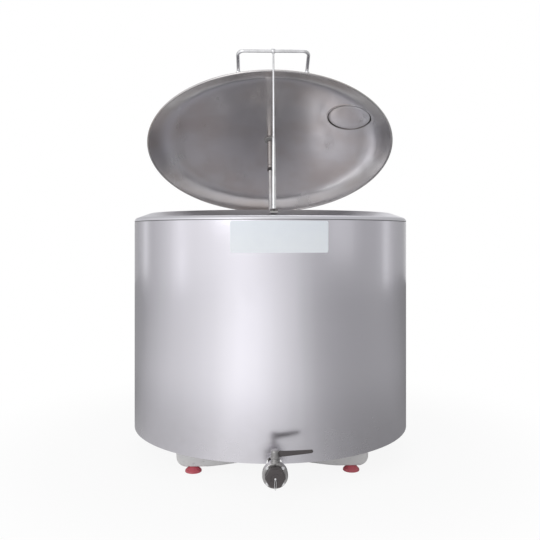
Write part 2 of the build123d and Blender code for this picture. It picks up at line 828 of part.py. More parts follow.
# Stirrer: shaft, driving sleeve, clamp collar and paddle
sleeve_low = seal_top - sleeve_length
paddle_level = paddle_z - hinge_z
with BuildPart() as stirrer_shaft:
    with BuildSketch(on_lid(0, lid_centre_y, plate_top + gearbox_height / 2 - 2)):
        Circle(shaft_radius)
    extrude(amount=-(plate_top + gearbox_height / 2 - 2 - paddle_level + paddle_height / 2))
save(stirrer_shaft.part, "stirrer_shaft")

with BuildPart() as drive_sleeve:
    with BuildSketch(on_lid(0, lid_centre_y, sleeve_low)):
        Circle(sleeve_radius)
        Circle(shaft_radius, mode=Mode.SUBTRACT)
    extrude(amount=sleeve_length - 2)
save(drive_sleeve.part, "drive_sleeve")

with BuildPart() as clamp_collar:
    with BuildSketch(on_lid(0, lid_centre_y, sleeve_low - collar_length)):
        Circle(collar_radius)
        Circle(shaft_radius, mode=Mode.SUBTRACT)
    extrude(amount=collar_length)
save(clamp_collar.part, "clamp_collar")

with BuildPart() as stirrer_paddle:
    with BuildSketch(on_lid(0, lid_centre_y, paddle_level - paddle_height / 2)):
        Circle(paddle_hub_radius)
    extrude(amount=paddle_height)
    for turn in (0, 180):
        blade_location = on_lid(0, lid_centre_y, paddle_level, (0, 0, turn)).location
        blade_plane = Plane(blade_location * Location((0, 0, 0), (paddle_pitch, 0, 0)))
        with BuildSketch(blade_plane.offset(-paddle_sheet / 2)):
            with Locations((paddle_span / 4, 0)):
                RectangleRounded(paddle_span / 2, paddle_height, 14)
        extrude(amount=paddle_sheet)
    with BuildSketch(on_lid(0, lid_centre_y, paddle_level - paddle_height)):
        Circle(shaft_radius)
    extrude(amount=2 * paddle_height, mode=Mode.SUBTRACT)
save(stirrer_paddle.part, "stirrer_paddle")

# Prop rod, turning on the handle bar and standing on the deck's front edge
foot_point = Vector(0, prop_foot_y, prop_foot_z)
rod_direction = (eye_centre - foot_point).normalized()
rod_length = (eye_centre - foot_point).length
rod_plane = Plane(origin=foot_point, x_dir=(1, 0, 0), z_dir=rod_direction)
with BuildPart() as prop_tip:
    with BuildSketch(rod_plane):
        Circle(prop_tip_radius)
    extrude(amount=prop_tip_length)
    chamfer(prop_tip.faces().sort_by(Axis.Z)[0].edges(), 1.5)
save(prop_tip.part, "prop_tip")

tube_top = prop_tip_length + prop_tube_length
with BuildPart() as prop_tube:
    with BuildSketch(rod_plane.offset(prop_tip_length)):
        Circle(prop_tube_radius)
    extrude(amount=prop_tube_length)
    chamfer(prop_tube.faces().sort_by(Axis.Z)[-1].edges(), 2)
    with BuildSketch(rod_plane.offset(tube_top)):
        Circle(prop_rod_radius)
    extrude(amount=-40, mode=Mode.SUBTRACT)
save(prop_tube.part, "prop_tube")

with BuildPart() as prop_rod:
    with BuildSketch(rod_plane.offset(tube_top - 40)):
        Circle(prop_rod_radius)
    extrude(amount=rod_length - tube_top + 40)
    with BuildSketch(Plane.YZ.offset(-prop_eye_width / 2)):
        with Locations((eye_centre.Y, eye_centre.Z)):
            Circle(prop_eye_radius)
    extrude(amount=prop_eye_width)
    with BuildSketch(Plane.YZ.offset(-prop_eye_width)):
        with Locations((eye_centre.Y, eye_centre.Z)):
            Circle(handle_rod_radius + pin_clearance)
    extrude(amount=2 * prop_eye_width, mode=Mode.SUBTRACT)
save(prop_rod.part, "prop_rod")


# Outlet valve: two halves clamped on a liner, with the stem between them
def valve_half(direction):
    """One half of the valve body, from the split plane towards the tank (1) or the outlet (-1)."""
    split_plane = Plane(origin=(0, valve_y, outlet_z), x_dir=(1, 0, 0), z_dir=(0, direction, 0))
    with BuildPart() as body:
        with BuildSketch(split_plane):
            Circle(valve_radius)
        extrude(amount=valve_flange)
        fillet(body.faces().sort_by(Axis.Y)[-1 if direction > 0 else 0].edges(), 2)
        with BuildSketch(split_plane.offset(valve_flange)):
            Circle(valve_neck_radius if direction > 0 else thread_radius)
        extrude(amount=valve_half_length - valve_flange if direction > 0 else thread_length)
        with BuildSketch(Plane.XY.offset(outlet_z + valve_radius - 5)):
            with Locations((0, valve_y)):
                Circle(stem_neck_radius)
        extrude(amount=stem_neck_top - valve_radius + 5)
        split(bisect_by=split_plane, keep=Keep.TOP)
        with BuildSketch(split_plane):
            Circle(valve_bore)
        extrude(amount=3 * valve_half_length, mode=Mode.SUBTRACT)
        with BuildSketch(split_plane):
            Circle(liner_radius)
        extrude(amount=liner_half_length, mode=Mode.SUBTRACT)
        with BuildSketch(Plane.XY.offset(outlet_z)):
            with Locations((0, valve_y)):
                Circle(stem_radius + pin_clearance)
        extrude(amount=2 * valve_radius, mode=Mode.SUBTRACT)
        with BuildSketch(split_plane):
            with PolarLocations(valve_bolt_circle, 4, start_angle=45):
                Circle(valve_bolt_radius)
        extrude(amount=valve_flange if direction > 0 else valve_flange - 3, mode=Mode.SUBTRACT)
    return body.part


save(valve_half(1), "valve_body_rear")
save(valve_half(-1), "valve_body_front")

with BuildPart() as valve_liner:
    with BuildSketch(Plane.XZ.offset(-valve_y - liner_half_length)):
        with Locations((0, outlet_z)):
            Circle(liner_radius)
            Circle(valve_bore, mode=Mode.SUBTRACT)
    extrude(amount=2 * liner_half_length)
    with BuildSketch(Plane.XY.offset(outlet_z)):
        with Locations((0, valve_y)):
            Circle(stem_radius + pin_clearance)
    extrude(amount=2 * valve_radius, mode=Mode.SUBTRACT)
save(valve_liner.part, "valve_liner")

with BuildPart() as valve_bolts:
    rear_face = Plane(origin=(0, valve_y + valve_flange, outlet_z), x_dir=(1, 0, 0), z_dir=(0, 1, 0))
    with BuildSketch(rear_face):
        with PolarLocations(valve_bolt_circle, 4, start_angle=45):
            Circle(valve_bolt_radius)
    extrude(amount=-2 * valve_flange + 4)
    with BuildSketch(rear_face):
        with PolarLocations(valve_bolt_circle, 4, start_angle=45):
            RegularPolygon(valve_bolt_head, 6)
    extrude(amount=4)
save(valve_bolts.part, "valve_bolts")

hub_low_z = outlet_z + stem_neck_top + touch
with BuildPart() as valve_disc:
    with BuildSketch(Plane.XZ.offset(-valve_y - disc_thickness / 2)):
        with Locations((0, outlet_z)):
            Circle(valve_bore - disc_gap)
    extrude(amount=disc_thickness)
    with BuildSketch(Plane.XY.offset(outlet_z)):
        with Locations((0, valve_y)):
            Circle(stem_radius)
    extrude(amount=stem_neck_top + lever_hub_height * 0.8)
save(valve_disc.part, "valve_disc")

lever_mid_z = hub_low_z + lever_hub_height / 2
with BuildPart() as valve_lever:
    with BuildSketch(Plane.XY.offset(hub_low_z)):
        with Locations((0, valve_y)):
            Circle(lever_hub_radius)
    extrude(amount=lever_hub_height)
    chamfer(valve_lever.faces().sort_by(Axis.Z)[-1].edges(), 1.5)
    with BuildSketch(Plane.XZ.offset(-valve_y - lever_sheet / 2)):
        with BuildLine():
            Polyline(
                (0, lever_mid_z - lever_root / 2),
                (0, lever_mid_z + lever_root / 2),
                (lever_length, lever_mid_z + lever_rise + lever_tip / 2),
                (lever_length, lever_mid_z + lever_rise - lever_tip / 2),
                close=True,
            )
        make_face()
    extrude(amount=lever_sheet)
    fillet(valve_lever.edges().filter_by(Axis.Y).group_by(Axis.X)[-1], lever_tip * 0.4)
    with BuildSketch(Plane.XY.offset(hub_low_z)):
        with Locations((0, valve_y)):
            Circle(stem_radius)
    extrude(amount=stem_neck_top + lever_hub_height * 0.8 - (hub_low_z - outlet_z), mode=Mode.SUBTRACT)
save(valve_lever.part, "valve_lever")

cap_back_y = valve_y - valve_flange - 1
with BuildPart() as outlet_cap:
    with BuildSketch(Plane.XZ.offset(-cap_back_y)):
        with Locations((0, outlet_z)):
            RegularPolygon(cap_flats / 2, 6, major_radius=False, rotation=30)
    extrude(amount=cap_length + cap_wall)
    chamfer(outlet_cap.faces().sort_by(Axis.Y)[0].edges(), 2.5)
    with BuildSketch(Plane.XZ.offset(-cap_back_y)):
        with Locations((0, outlet_z)):
            Circle(thread_radius + cap_gap)
    extrude(amount=cap_length, mode=Mode.SUBTRACT)
save(outlet_cap.part, "outlet_cap")

# Condensing unit: tray over the rails
tray_top_z = shell_bottom_z + tray_sheet
with BuildPart() as unit_tray:
    with BuildSketch(Plane.XZ.offset(-tray_front_y)):
        with Locations((0, shell_bottom_z + tray_sheet / 2)):
            Rectangle(2 * tray_half_width, tray_sheet)
        for side in (-1, 1):
            with Locations((side * (tray_half_width - tray_sheet / 2), shell_bottom_z + tray_lip / 2)):
                Rectangle(tray_sheet, tray_lip)
    extrude(amount=-(tray_back_y - tray_front_y))
save(unit_tray.part, "unit_tray")

mount_places = [
    (compressor_x + sx * compressor_base_size * 0.4, compressor_y + sy * compressor_base_size * 0.36)
    for sx in (-1, 1)
    for sy in (-1, 1)
]
with BuildPart() as compressor_mounts:
    with BuildSketch(Plane.XY.offset(tray_top_z)):
        with Locations(*mount_places):
            Circle(12)
    extrude(amount=mount_height)
save(compressor_mounts.part, "compressor_mounts")

base_z = tray_top_z + mount_height
can_low = base_z + tray_sheet
can_top = can_low + compressor_height
dome_radius = (compressor_radius**2 + compressor_dome**2) / (2 * compressor_dome)
port_offset = 45.0


def dome_drop(radius):
    """How far the can's dome has fallen from its top at a radius."""
    return dome_radius - sqrt(dome_radius**2 - radius**2)


with BuildPart() as compressor:
    with BuildSketch(Plane.XY.offset(base_z)):
        with Locations((compressor_x, compressor_y)):
            RectangleRounded(compressor_base_size, compressor_base_size * 0.9, 20)
    extrude(amount=tray_sheet)
    with BuildSketch(Plane((compressor_x, compressor_y, 0), x_dir=(1, 0, 0), z_dir=(0, -1, 0))):
        with BuildLine():
            half = compressor_radius / 2
            seam_z = can_low + compressor_height * 0.45
            Polyline(
                (0, can_top),
                (0, can_low),
                (compressor_radius - 14, can_low),
                (compressor_radius, can_low + 26),
                (compressor_radius, seam_z - 4),
                (compressor_radius + compressor_seam, seam_z - 4),
                (compressor_radius + compressor_seam, seam_z + 4),
                (compressor_radius, seam_z + 4),
                (compressor_radius, can_top - compressor_dome),
            )
            ThreePointArc(
                (compressor_radius, can_top - compressor_dome), (half, can_top - dome_drop(half)), (0, can_top)
            )
        make_face()
    revolve(axis=Axis((compressor_x, compressor_y, 0), (0, 0, 1)))
    with BuildSketch(Plane.XY.offset(can_top - compressor_dome)):
        with Locations((compressor_x + port_offset, compressor_y)):
            Circle(8)
    extrude(amount=compressor_dome)
save(compressor.part, "compressor")

condenser_low = tray_top_z + 4
condenser_top = condenser_low + condenser_height
condenser_left = condenser_x - condenser_width / 2
condenser_front = condenser_y - condenser_depth / 2
with BuildPart() as condenser_frame:
    with BuildSketch(Plane.XZ.offset(-condenser_front)):
        with Locations((condenser_x, condenser_low - 2 + (condenser_height + 4) / 2)):
            Rectangle(condenser_width + 4, condenser_height + 4)
            Rectangle(condenser_width, condenser_height, mode=Mode.SUBTRACT)
        with Locations(*[(condenser_x + side * condenser_width * 0.4, tray_top_z + 1) for side in (-1, 1)]):
            Rectangle(24, 2)
    extrude(amount=-condenser_depth)
save(condenser_frame.part, "condenser_frame")

fin_count = int((condenser_width - fin_pitch) / fin_pitch)
with BuildPart() as condenser_fins:
    with BuildSketch(Plane.XZ.offset(-condenser_front - 3)):
        with Locations((condenser_x, condenser_low + condenser_height / 2)):
            with GridLocations(fin_pitch, 1, fin_count, 1):
                Rectangle(fin_sheet, condenser_height - 2 * touch)
    extrude(amount=-(condenser_depth - 6))
save(condenser_fins.part, "condenser_fins")

# Shroud and fan
shroud_front = condenser_front - shroud_depth
fan_centre_z = condenser_low + condenser_height / 2
with BuildPart() as fan_shroud:
    with BuildSketch(Plane.XZ.offset(-condenser_front)):
        with Locations((condenser_x, fan_centre_z)):
            Rectangle(condenser_width + 4, condenser_height + 4)
    extrude(amount=2)
    with BuildSketch(Plane.XZ.offset(-condenser_front)):
        with Locations((condenser_x, fan_centre_z)):
            Circle(fan_radius + shroud_gap + 2)
    extrude(amount=shroud_depth)
    with BuildSketch(Plane.XZ.offset(-condenser_front)):
        with Locations((condenser_x, fan_centre_z)):
            Circle(fan_radius + shroud_gap)
    extrude(amount=shroud_depth, mode=Mode.SUBTRACT)
save(fan_shroud.part, "fan_shroud")

hub_back_y = condenser_front - 8
hub_front_y = hub_back_y - fan_hub_length
with BuildPart() as fan_blades:
    with BuildSketch(Plane.XZ.offset(-hub_back_y)):
        with Locations((condenser_x, fan_centre_z)):
            Circle(fan_hub_radius)
    extrude(amount=fan_hub_length)
    for index in range(fan_blade_count):
        turn = 360 * index / fan_blade_count
        hub_location = Location((condenser_x, (hub_back_y + hub_front_y) / 2, fan_centre_z), (90, 0, 0))
        turned_location = hub_location * Location((0, 0, 0), (0, 0, turn))
        blade_plane = Plane(turned_location * Location((0, 0, 0), (fan_blade_pitch, 0, 0)))
        with BuildSketch(blade_plane.offset(-1)):
            with BuildLine():
                Polyline(
                    (fan_hub_radius - 6, -fan_blade_chord * 0.2),
                    (fan_radius - 8, -fan_blade_chord * 0.5),
                    (fan_radius - 2, 0),
                    (fan_radius - 8, fan_blade_chord * 0.5),
                    (fan_hub_radius - 6, fan_blade_chord * 0.2),
                    close=True,
                )
            make_face()
        extrude(amount=2)
    with BuildSketch(Plane.XZ.offset(-hub_back_y)):
        with Locations((condenser_x, fan_centre_z)):
            Circle(fan_shaft_radius + pin_clearance)
    extrude(amount=fan_hub_length, mode=Mode.SUBTRACT)
save(fan_blades.part, "fan_blades")

motor_front_y = hub_front_y - 6
with BuildPart() as fan_motor:
    with BuildSketch(Plane.XZ.offset(-motor_front_y)):
        with Locations((condenser_x, fan_centre_z)):
            Circle(fan_motor_radius)
    extrude(amount=fan_motor_length)
    fillet(fan_motor.faces().sort_by(Axis.Y)[0].edges(), 6)
    with BuildSketch(Plane.XZ.offset(-motor_front_y)):
        with Locations((condenser_x, fan_centre_z)):
            Circle(fan_shaft_radius)
    extrude(amount=-(fan_hub_length + 4))
save(fan_motor.part, "fan_motor")

bracket_y = motor_front_y - fan_motor_length * 0.4
with BuildPart() as motor_bracket:
    with BuildSketch(Plane.XZ.offset(-bracket_y)):
        with Locations((condenser_x, fan_centre_z)):
            Circle(fan_motor_radius + 3)
            Rectangle(2 * (fan_radius + shroud_gap + 16), 18)
            Circle(fan_motor_radius, mode=Mode.SUBTRACT)
    extrude(amount=3)
    strap_reach = condenser_front - 2 - (bracket_y - 3)
    for side in (-1, 1):
        with BuildSketch(Plane.XZ.offset(-bracket_y + 3)):
            with Locations((condenser_x + side * (fan_radius + shroud_gap + 14.5), fan_centre_z)):
                Rectangle(3, 18)
        extrude(amount=-strap_reach)
save(motor_bracket.part, "motor_bracket")

# Liquid receiver and filter drier
receiver_low = tray_top_z
with BuildPart() as liquid_receiver:
    with BuildSketch(Plane.XY.offset(receiver_low)):
        with Locations((receiver_x, receiver_y)):
            Circle(receiver_radius)
    extrude(amount=receiver_height)
    fillet(liquid_receiver.faces().sort_by(Axis.Z)[-1].edges(), receiver_dome)
save(liquid_receiver.part, "liquid_receiver")

drier_y = 640.0
with BuildPart() as filter_drier:
    with BuildSketch(Plane((drier_x, drier_y, liquid_z), x_dir=(0, 1, 0), z_dir=(0, 0, 1))):
        with BuildLine():
            Polyline(
                (0, 0),
                (0, liquid_radius + 2),
                (16, drier_radius),
                (drier_length - 16, drier_radius),
                (drier_length, liquid_radius + 2),
                (drier_length, 0),
                close=True,
            )
        make_face()
    revolve(axis=Axis((drier_x, drier_y, liquid_z), (0, 1, 0)))
save(filter_drier.part, "filter_drier")


def pipe(points, radius, bend):
    """A round pipe through points with tangent bends; a straight one has no bend."""
    with BuildPart() as body:
        with BuildLine() as path:
            if bend:
                FilletPolyline(*points, radius=bend)
            else:
                Line(*points)
        with BuildSketch(Plane(path.line @ 0, z_dir=path.line % 0)):
            Circle(radius)
        sweep()
    return body.part


vessel_back_y = opening_radius + vessel_sheet + 14
with BuildPart() as suction_line:
    add(
        pipe(
            [
                (suction_x, vessel_back_y, suction_z),
                (suction_x, compressor_y - 140, suction_z),
                (compressor_x, compressor_y - 140, suction_z),
                (compressor_x, compressor_y - compressor_radius - touch, suction_z),
            ],
            suction_radius,
            24,
        )
    )
save(suction_line.part, "suction_line")

with BuildPart() as refrigerant_lines:
    add(
        pipe(
            [
                (liquid_x, vessel_back_y, liquid_z),
                (liquid_x, 600, liquid_z),
                (drier_x, 600, liquid_z),
                (drier_x, drier_y, liquid_z),
            ],
            liquid_radius,
            18,
        )
    )
    add(
        pipe(
            [
                (drier_x, drier_y + drier_length, liquid_z),
                (drier_x, receiver_y - receiver_radius - 44, liquid_z),
                (receiver_x, receiver_y - receiver_radius - 44, liquid_z),
                (receiver_x, receiver_y - receiver_radius - touch, liquid_z),
            ],
            liquid_radius,
            18,
        )
    )
    add(
        pipe(
            [
                (condenser_left - 2 - touch, receiver_y, liquid_z - 20),
                (receiver_x + receiver_radius + touch, receiver_y, liquid_z - 20),
            ],
            liquid_radius,
            0,
        )
    )
    add(
        pipe(
            [
                (compressor_x + port_offset, compressor_y, can_top),
                (compressor_x + port_offset, compressor_y, can_top + 50),
                (compressor_x + port_offset, condenser_y, can_top + 50),
                (condenser_left - 2 - touch, condenser_y, can_top + 50),
            ],
            liquid_radius,
            18,
        )
    )
save(refrigerant_lines.part, "refrigerant_lines")

# Control box on the shell's back
box_front_y = shell_radius + box_stand_off
with BuildPart() as control_box:
    with BuildSketch(Plane.XZ.offset(-box_front_y)):
        with Locations((0, box_z + box_height / 2)):
            RectangleRounded(box_width, box_height, box_corner)
    extrude(amount=-(box_depth - box_lid_depth))
    with BuildSketch(Plane.XY.offset(box_z + 10)):
        with Locations(*[(side * box_width * 0.35, box_front_y - 20) for side in (-1, 1)]):
            Rectangle(20, 40)
    extrude(amount=box_height - 20)
    with BuildSketch(Plane.XY.offset(box_z)):
        Circle(shell_radius)
    extrude(amount=box_height, mode=Mode.SUBTRACT)
save(control_box.part, "control_box")

box_lid_y = box_front_y + box_depth - box_lid_depth
with BuildPart() as control_box_lid:
    with BuildSketch(Plane.XZ.offset(-box_lid_y)):
        with Locations((0, box_z + box_height / 2)):
            RectangleRounded(box_width, box_height, box_corner)
    extrude(amount=-box_lid_depth)
    fillet(control_box_lid.faces().sort_by(Axis.Y)[-1].edges(), 4)
    with BuildSketch(Plane.XZ.offset(-box_lid_y - box_lid_depth)):
        with Locations((box_width * 0.25, box_z + box_height * 0.4)):
            Circle(knob_shaft_radius + pin_clearance)
    extrude(amount=12, mode=Mode.SUBTRACT)
save(control_box_lid.part, "control_box_lid")

knob_y = box_lid_y + box_lid_depth
with BuildPart() as selector_knob:
    with BuildSketch(Plane.XZ.offset(-knob_y - touch)):
        with Locations((box_width * 0.25, box_z + box_height * 0.4)):
            Circle(knob_radius)
    extrude(amount=-8)
    with BuildSketch(Plane.XZ.offset(-knob_y - touch - 8)):
        with Locations((box_width * 0.25, box_z + box_height * 0.4)):
            Rectangle(9, 2 * knob_radius - 3)
    extrude(amount=-(knob_length - 8))
    with BuildSketch(Plane.XZ.offset(-knob_y - touch)):
        with Locations((box_width * 0.25, box_z + box_height * 0.4)):
            Circle(knob_shaft_radius)
    extrude(amount=11)
save(selector_knob.part, "selector_knob")

with BuildPart() as cable_glands:
    with BuildSketch(Plane.XY.offset(box_z)):
        with Locations(*[(x, box_front_y + 35) for x in (-60, -20, 20)]):
            RegularPolygon(gland_radius, 6)
    extrude(amount=-gland_length / 2)
    with BuildSketch(Plane.XY.offset(box_z - gland_length / 2)):
        with Locations(*[(x, box_front_y + 35) for x in (-60, -20, 20)]):
            Circle(gland_radius * 0.75)
    extrude(amount=-gland_length / 2)
save(cable_glands.part, "cable_glands")
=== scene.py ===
"""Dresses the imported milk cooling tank: brushed shell, dished lid, stirrer, valve and cooling unit."""

import json
import math

import bmesh
import bpy
import numpy as np
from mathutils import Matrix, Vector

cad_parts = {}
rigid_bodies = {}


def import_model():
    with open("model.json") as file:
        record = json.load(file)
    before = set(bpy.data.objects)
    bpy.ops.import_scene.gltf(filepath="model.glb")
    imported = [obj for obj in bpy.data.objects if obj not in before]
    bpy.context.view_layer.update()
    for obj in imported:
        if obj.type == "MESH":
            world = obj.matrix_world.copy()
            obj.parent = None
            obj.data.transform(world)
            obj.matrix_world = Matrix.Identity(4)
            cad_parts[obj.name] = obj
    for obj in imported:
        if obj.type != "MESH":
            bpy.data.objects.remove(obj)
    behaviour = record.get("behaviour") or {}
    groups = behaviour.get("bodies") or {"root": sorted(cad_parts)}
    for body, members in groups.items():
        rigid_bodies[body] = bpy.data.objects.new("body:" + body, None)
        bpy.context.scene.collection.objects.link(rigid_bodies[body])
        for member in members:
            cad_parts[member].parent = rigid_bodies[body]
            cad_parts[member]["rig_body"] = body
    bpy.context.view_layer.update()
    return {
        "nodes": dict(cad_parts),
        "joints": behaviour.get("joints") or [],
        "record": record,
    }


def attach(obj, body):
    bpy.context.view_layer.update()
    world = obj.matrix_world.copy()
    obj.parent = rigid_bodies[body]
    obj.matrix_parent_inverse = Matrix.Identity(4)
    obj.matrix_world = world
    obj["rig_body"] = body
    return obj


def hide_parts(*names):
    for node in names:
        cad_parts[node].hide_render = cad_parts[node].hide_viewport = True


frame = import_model()

bl_info = {
    "name": "Milk cooling tank",
    "version": (1, 0, 0),
    "blender": (4, 5, 0),
    "location": "3D View > Sidebar > Milk tank",
    "description": "Builds the surfaces and finishes of an upright milk cooling tank round its packed model",
    "category": "Add Mesh",
}

FULL_TURN = 2 * math.pi
MERGE_DISTANCE = 2e-6
# A direction that no swept path follows
SKEW = np.array((0.36, 0.48, 0.80))
WASHER_HEIGHT = 0.0008
FOLD_STEPS = 5
joints = {row["name"]: row for row in frame["joints"]}
slot_of = {row["node"]: row["material_slot"] for row in frame["record"]["subparts"]}


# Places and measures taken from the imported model


def unit(vectors):
    """Each vector over its own length."""
    return vectors / np.linalg.norm(vectors, axis=-1, keepdims=True)


def place_at(origin, up, right=(1.0, 0.0, 0.0)):
    """A 4 by 4 place at a point: its Z runs along up, its X along the part of right that is square to up."""
    z = unit(np.array(up, float))
    x = np.array(right, float)
    x = unit(x - z * (x @ z))
    place = np.eye(4)
    place[:3, 0] = x
    place[:3, 1] = np.cross(z, x)
    place[:3, 2] = z
    place[:3, 3] = origin
    return place


def shifted(place, x=0.0, y=0.0, z=0.0):
    """The same directions, starting from another point of that place."""
    moved = place.copy()
    moved[:3, 3] = place[:3, :3] @ (x, y, z) + place[:3, 3]
    return moved


def corners_of(node, place=np.eye(4)):
    """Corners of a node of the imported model, along the directions of a place."""
    vertices = frame["nodes"][node].data.vertices
    flat = np.empty(3 * len(vertices), np.float32)
    vertices.foreach_get("co", flat)
    return (flat.reshape(-1, 3).astype(float) - place[:3, 3]) @ place[:3, :3]


def span(node, place=np.eye(4)):
    """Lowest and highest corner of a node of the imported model, along the directions of a place."""
    points = corners_of(node, place)
    return points.min(0), points.max(0)


def middle(node, place=np.eye(4)):
    """Middle of a node's box along the directions of a place."""
    low, high = span(node, place)
    return (low + high) / 2


lid_tilt = math.radians(joints["lid_hinge"]["range_deg"][1])
lid_up = np.array((0.0, math.sin(lid_tilt), math.cos(lid_tilt)))
hinge_point = np.array(joints["lid_hinge"]["pos_m"])
lid_place = shifted(place_at(hinge_point, lid_up), y=-hinge_point[1])
hatch_middle = middle("hatch_collar", lid_place)
hatch_place = shifted(lid_place, hatch_middle[0], hatch_middle[1])
eye_point = np.array(joints["prop_swing"]["pos_m"])
tip_point = middle("prop_tip")
rod_place = place_at(tip_point, eye_point - tip_point)
outlet_point = np.array(joints["valve_turn"]["pos_m"])
outlet_place = place_at(outlet_point, (0, -1, 0))
stem_place = place_at(outlet_point, (0, 0, 1))
fan_place = place_at(joints["fan_spin"]["pos_m"], (0, -1, 0))


# Surfaces as arrays: a shape is its points and its faces, with -1 as a triangle's fourth corner


def circle(count):
    """Angles spaced evenly round a full turn."""
    return np.linspace(0, FULL_TURN, count, endpoint=False)


def around(radius, turn, height):
    """Points at a radius, a turn and a height: x = r cos t, y = r sin t, z = h."""
    radius, turn, height = np.broadcast_arrays(radius, turn, height)
    return np.stack([radius * np.cos(turn), radius * np.sin(turn), height], axis=-1)


def from_front(radius, turn, height):
    """Points by their turn from the tank's front: x = r sin t, y = -r cos t, z = h."""
    radius, turn, height = np.broadcast_arrays(radius, turn, height)
    return np.stack([radius * np.sin(turn), -radius * np.cos(turn), height], axis=-1)


def capped(grid):
    """The grid closed at both ends by a further row, drawn together in the middle of the row beside it."""
    first, last = [np.broadcast_to(grid[end].mean(0), (1, *grid.shape[1:])) for end in (0, -1)]
    return np.concatenate([first, grid, last])


def quads(rows, columns, wrap_rows=False, wrap_columns=True):
    """Corner numbers of a grid's faces: each joins a point, the next in its row and two in the row after."""
    row = np.arange(rows if wrap_rows else rows - 1)[:, None]
    column = np.arange(columns if wrap_columns else columns - 1)[None, :]
    row_after = (row + 1) % rows
    column_after = (column + 1) % columns
    corners = (
        row * columns + column,
        row * columns + column_after,
        row_after * columns + column_after,
        row_after * columns + column,
    )
    return np.stack(np.broadcast_arrays(*corners), axis=-1).reshape(-1, 4)


def as_shape(grid, wrap_rows=False, wrap_columns=True):
    """A grid of points, rows by columns, as a shape."""
    return grid.reshape(-1, 3), quads(*grid.shape[:2], wrap_rows, wrap_columns)


def joined(*shapes):
    """Several shapes as one."""
    counts = np.cumsum([0] + [len(points) for points, _ in shapes])
    faces = [np.where(face < 0, -1, face + start) for (_, face), start in zip(shapes, counts)]
    return np.concatenate([points for points, _ in shapes]), np.concatenate(faces)


def placed(shape, place):
    """The shape set in a place: each point is turned by it and moved to its origin."""
    points, faces = shape
    return points @ place[:3, :3].T + place[:3, 3], faces


def repeated(shape, places):
    """One shape set in several places."""
    return joined(*[placed(shape, place) for place in places])


def round_places(place, radius, count, start=0.0, height=0.0):
    """Places spaced evenly on a circle round a place's Z, each turned to face outwards."""
    turns = [start + FULL_TURN * step / count for step in range(count)]
    return [
        place_at(
            shifted(place, radius * math.cos(turn), radius * math.sin(turn), height)[:3, 3],
            place[:3, 2],
            place[:3, :3] @ (math.cos(turn), math.sin(turn), 0),
        )
        for turn in turns
    ]


def rounded(corners, radii, steps=6):
    """Straight runs through the corners, each inner corner replaced by an arc of its radius.

    The arc's centre lies on the corner's bisector, radius over the sine of half the opening away.
    """
    spots = np.asarray(corners, float)
    radius = np.broadcast_to(np.asarray(radii, float), (len(spots) - 2,))[:, None]
    back = unit(spots[:-2] - spots[1:-1])
    ahead = unit(spots[2:] - spots[1:-1])
    opening = np.arccos(np.clip((back * ahead).sum(1, keepdims=True), -1, 1))
    centre = spots[1:-1] + unit(back + ahead) * radius / np.sin(opening / 2)
    first = spots[1:-1] + back * radius / np.tan(opening / 2) - centre
    last = spots[1:-1] + ahead * radius / np.tan(opening / 2) - centre
    turn = (math.pi - opening)[:, None]
    share = np.linspace(0, 1, steps + 1)[None, :, None]
    swing = np.sin((1 - share) * turn) * first[:, None] + np.sin(share * turn) * last[:, None]
    arcs = (centre[:, None] + swing / np.sin(turn)).reshape(-1, spots.shape[1])
    line = np.concatenate([spots[:1], arcs, spots[-1:]])
    moved = np.linalg.norm(np.diff(line, axis=0), axis=1) > MERGE_DISTANCE
    return line[np.concatenate([[True], moved])]


def loop(corners, radii, steps=6):
    """A closed outline with rounded corners; it starts and ends midway between its last and first corner."""
    spots = np.asarray(corners, float)
    start = (spots[:1] + spots[-1:]) / 2
    return rounded(np.concatenate([start, spots, start]), radii, steps)[:-1]


def box_outline(width, height, radius, steps=6):
    """A rectangle round the origin with rounded corners, counter-clockwise."""
    x, y = width / 2, height / 2
    return loop([(x, -y), (x, y), (-x, y), (-x, -y)], radius, steps)


def turned(profile, turns=96, closed=False):
    """A profile of radius and height carried round Z."""
    profile = np.asarray(profile, float)
    return as_shape(around(profile[:, :1], circle(turns), profile[:, 1:]), closed)


def swept(path, radius, sides=20):
    """A round section carried along a path: every ring lies square to the path's direction at its point."""
    path = np.asarray(path, float)
    along = unit(np.gradient(path, axis=0))
    aside = unit(np.cross(SKEW, along))
    over = np.cross(along, aside)
    turn = circle(sides)[None, :, None]
    size = np.broadcast_to(np.asarray(radius, float), (len(path),))[:, None, None]
    rings = path[:, None] + size * (np.cos(turn) * aside[:, None] + np.sin(turn) * over[:, None])
    return as_shape(capped(rings))


def inward(outline):
    """Directions from an outline's points to its inside, where it runs counter-clockwise."""
    along = unit(np.roll(outline, -1, 0) - np.roll(outline, 1, 0))
    return np.stack([-along[:, 1], along[:, 0]], axis=1)


def stacked(rings):
    """Outlines, each with the level it lies at, as one shape."""
    return as_shape(np.stack([np.column_stack([ring, np.full(len(ring), level)]) for ring, level in rings]))


def slab(outline, low, high, bevel=0.001):
    """A flat outline given a thickness, each edge broken by a bevel: six rings from middle to middle."""
    outline = np.asarray(outline, float)
    inner = outline + bevel * inward(outline)
    centre = np.broadcast_to(outline.mean(0), outline.shape)
    lower = [(centre, low), (inner, low), (outline, low + bevel)]
    upper = [(outline, high - bevel), (inner, high), (centre, high)]
    return stacked(lower + upper)


def channel(outline, depth, wall, fold):
    """A tray folded from sheet: the outline's face with a rounded fold, its flanges going back by a depth."""
    inside = inward(outline)
    centre = np.broadcast_to(outline.mean(0), outline.shape)
    inner = outline + inside * wall
    rings = [(centre, depth - wall), (inner, depth - wall), (inner, 0.0), (outline, 0.0)]
    for turn in np.linspace(0, math.pi / 2, FOLD_STEPS):
        rings.append((outline + inside * fold * (1 - math.cos(turn)), depth - fold * (1 - math.sin(turn))))
    return stacked(rings + [(centre, depth)])


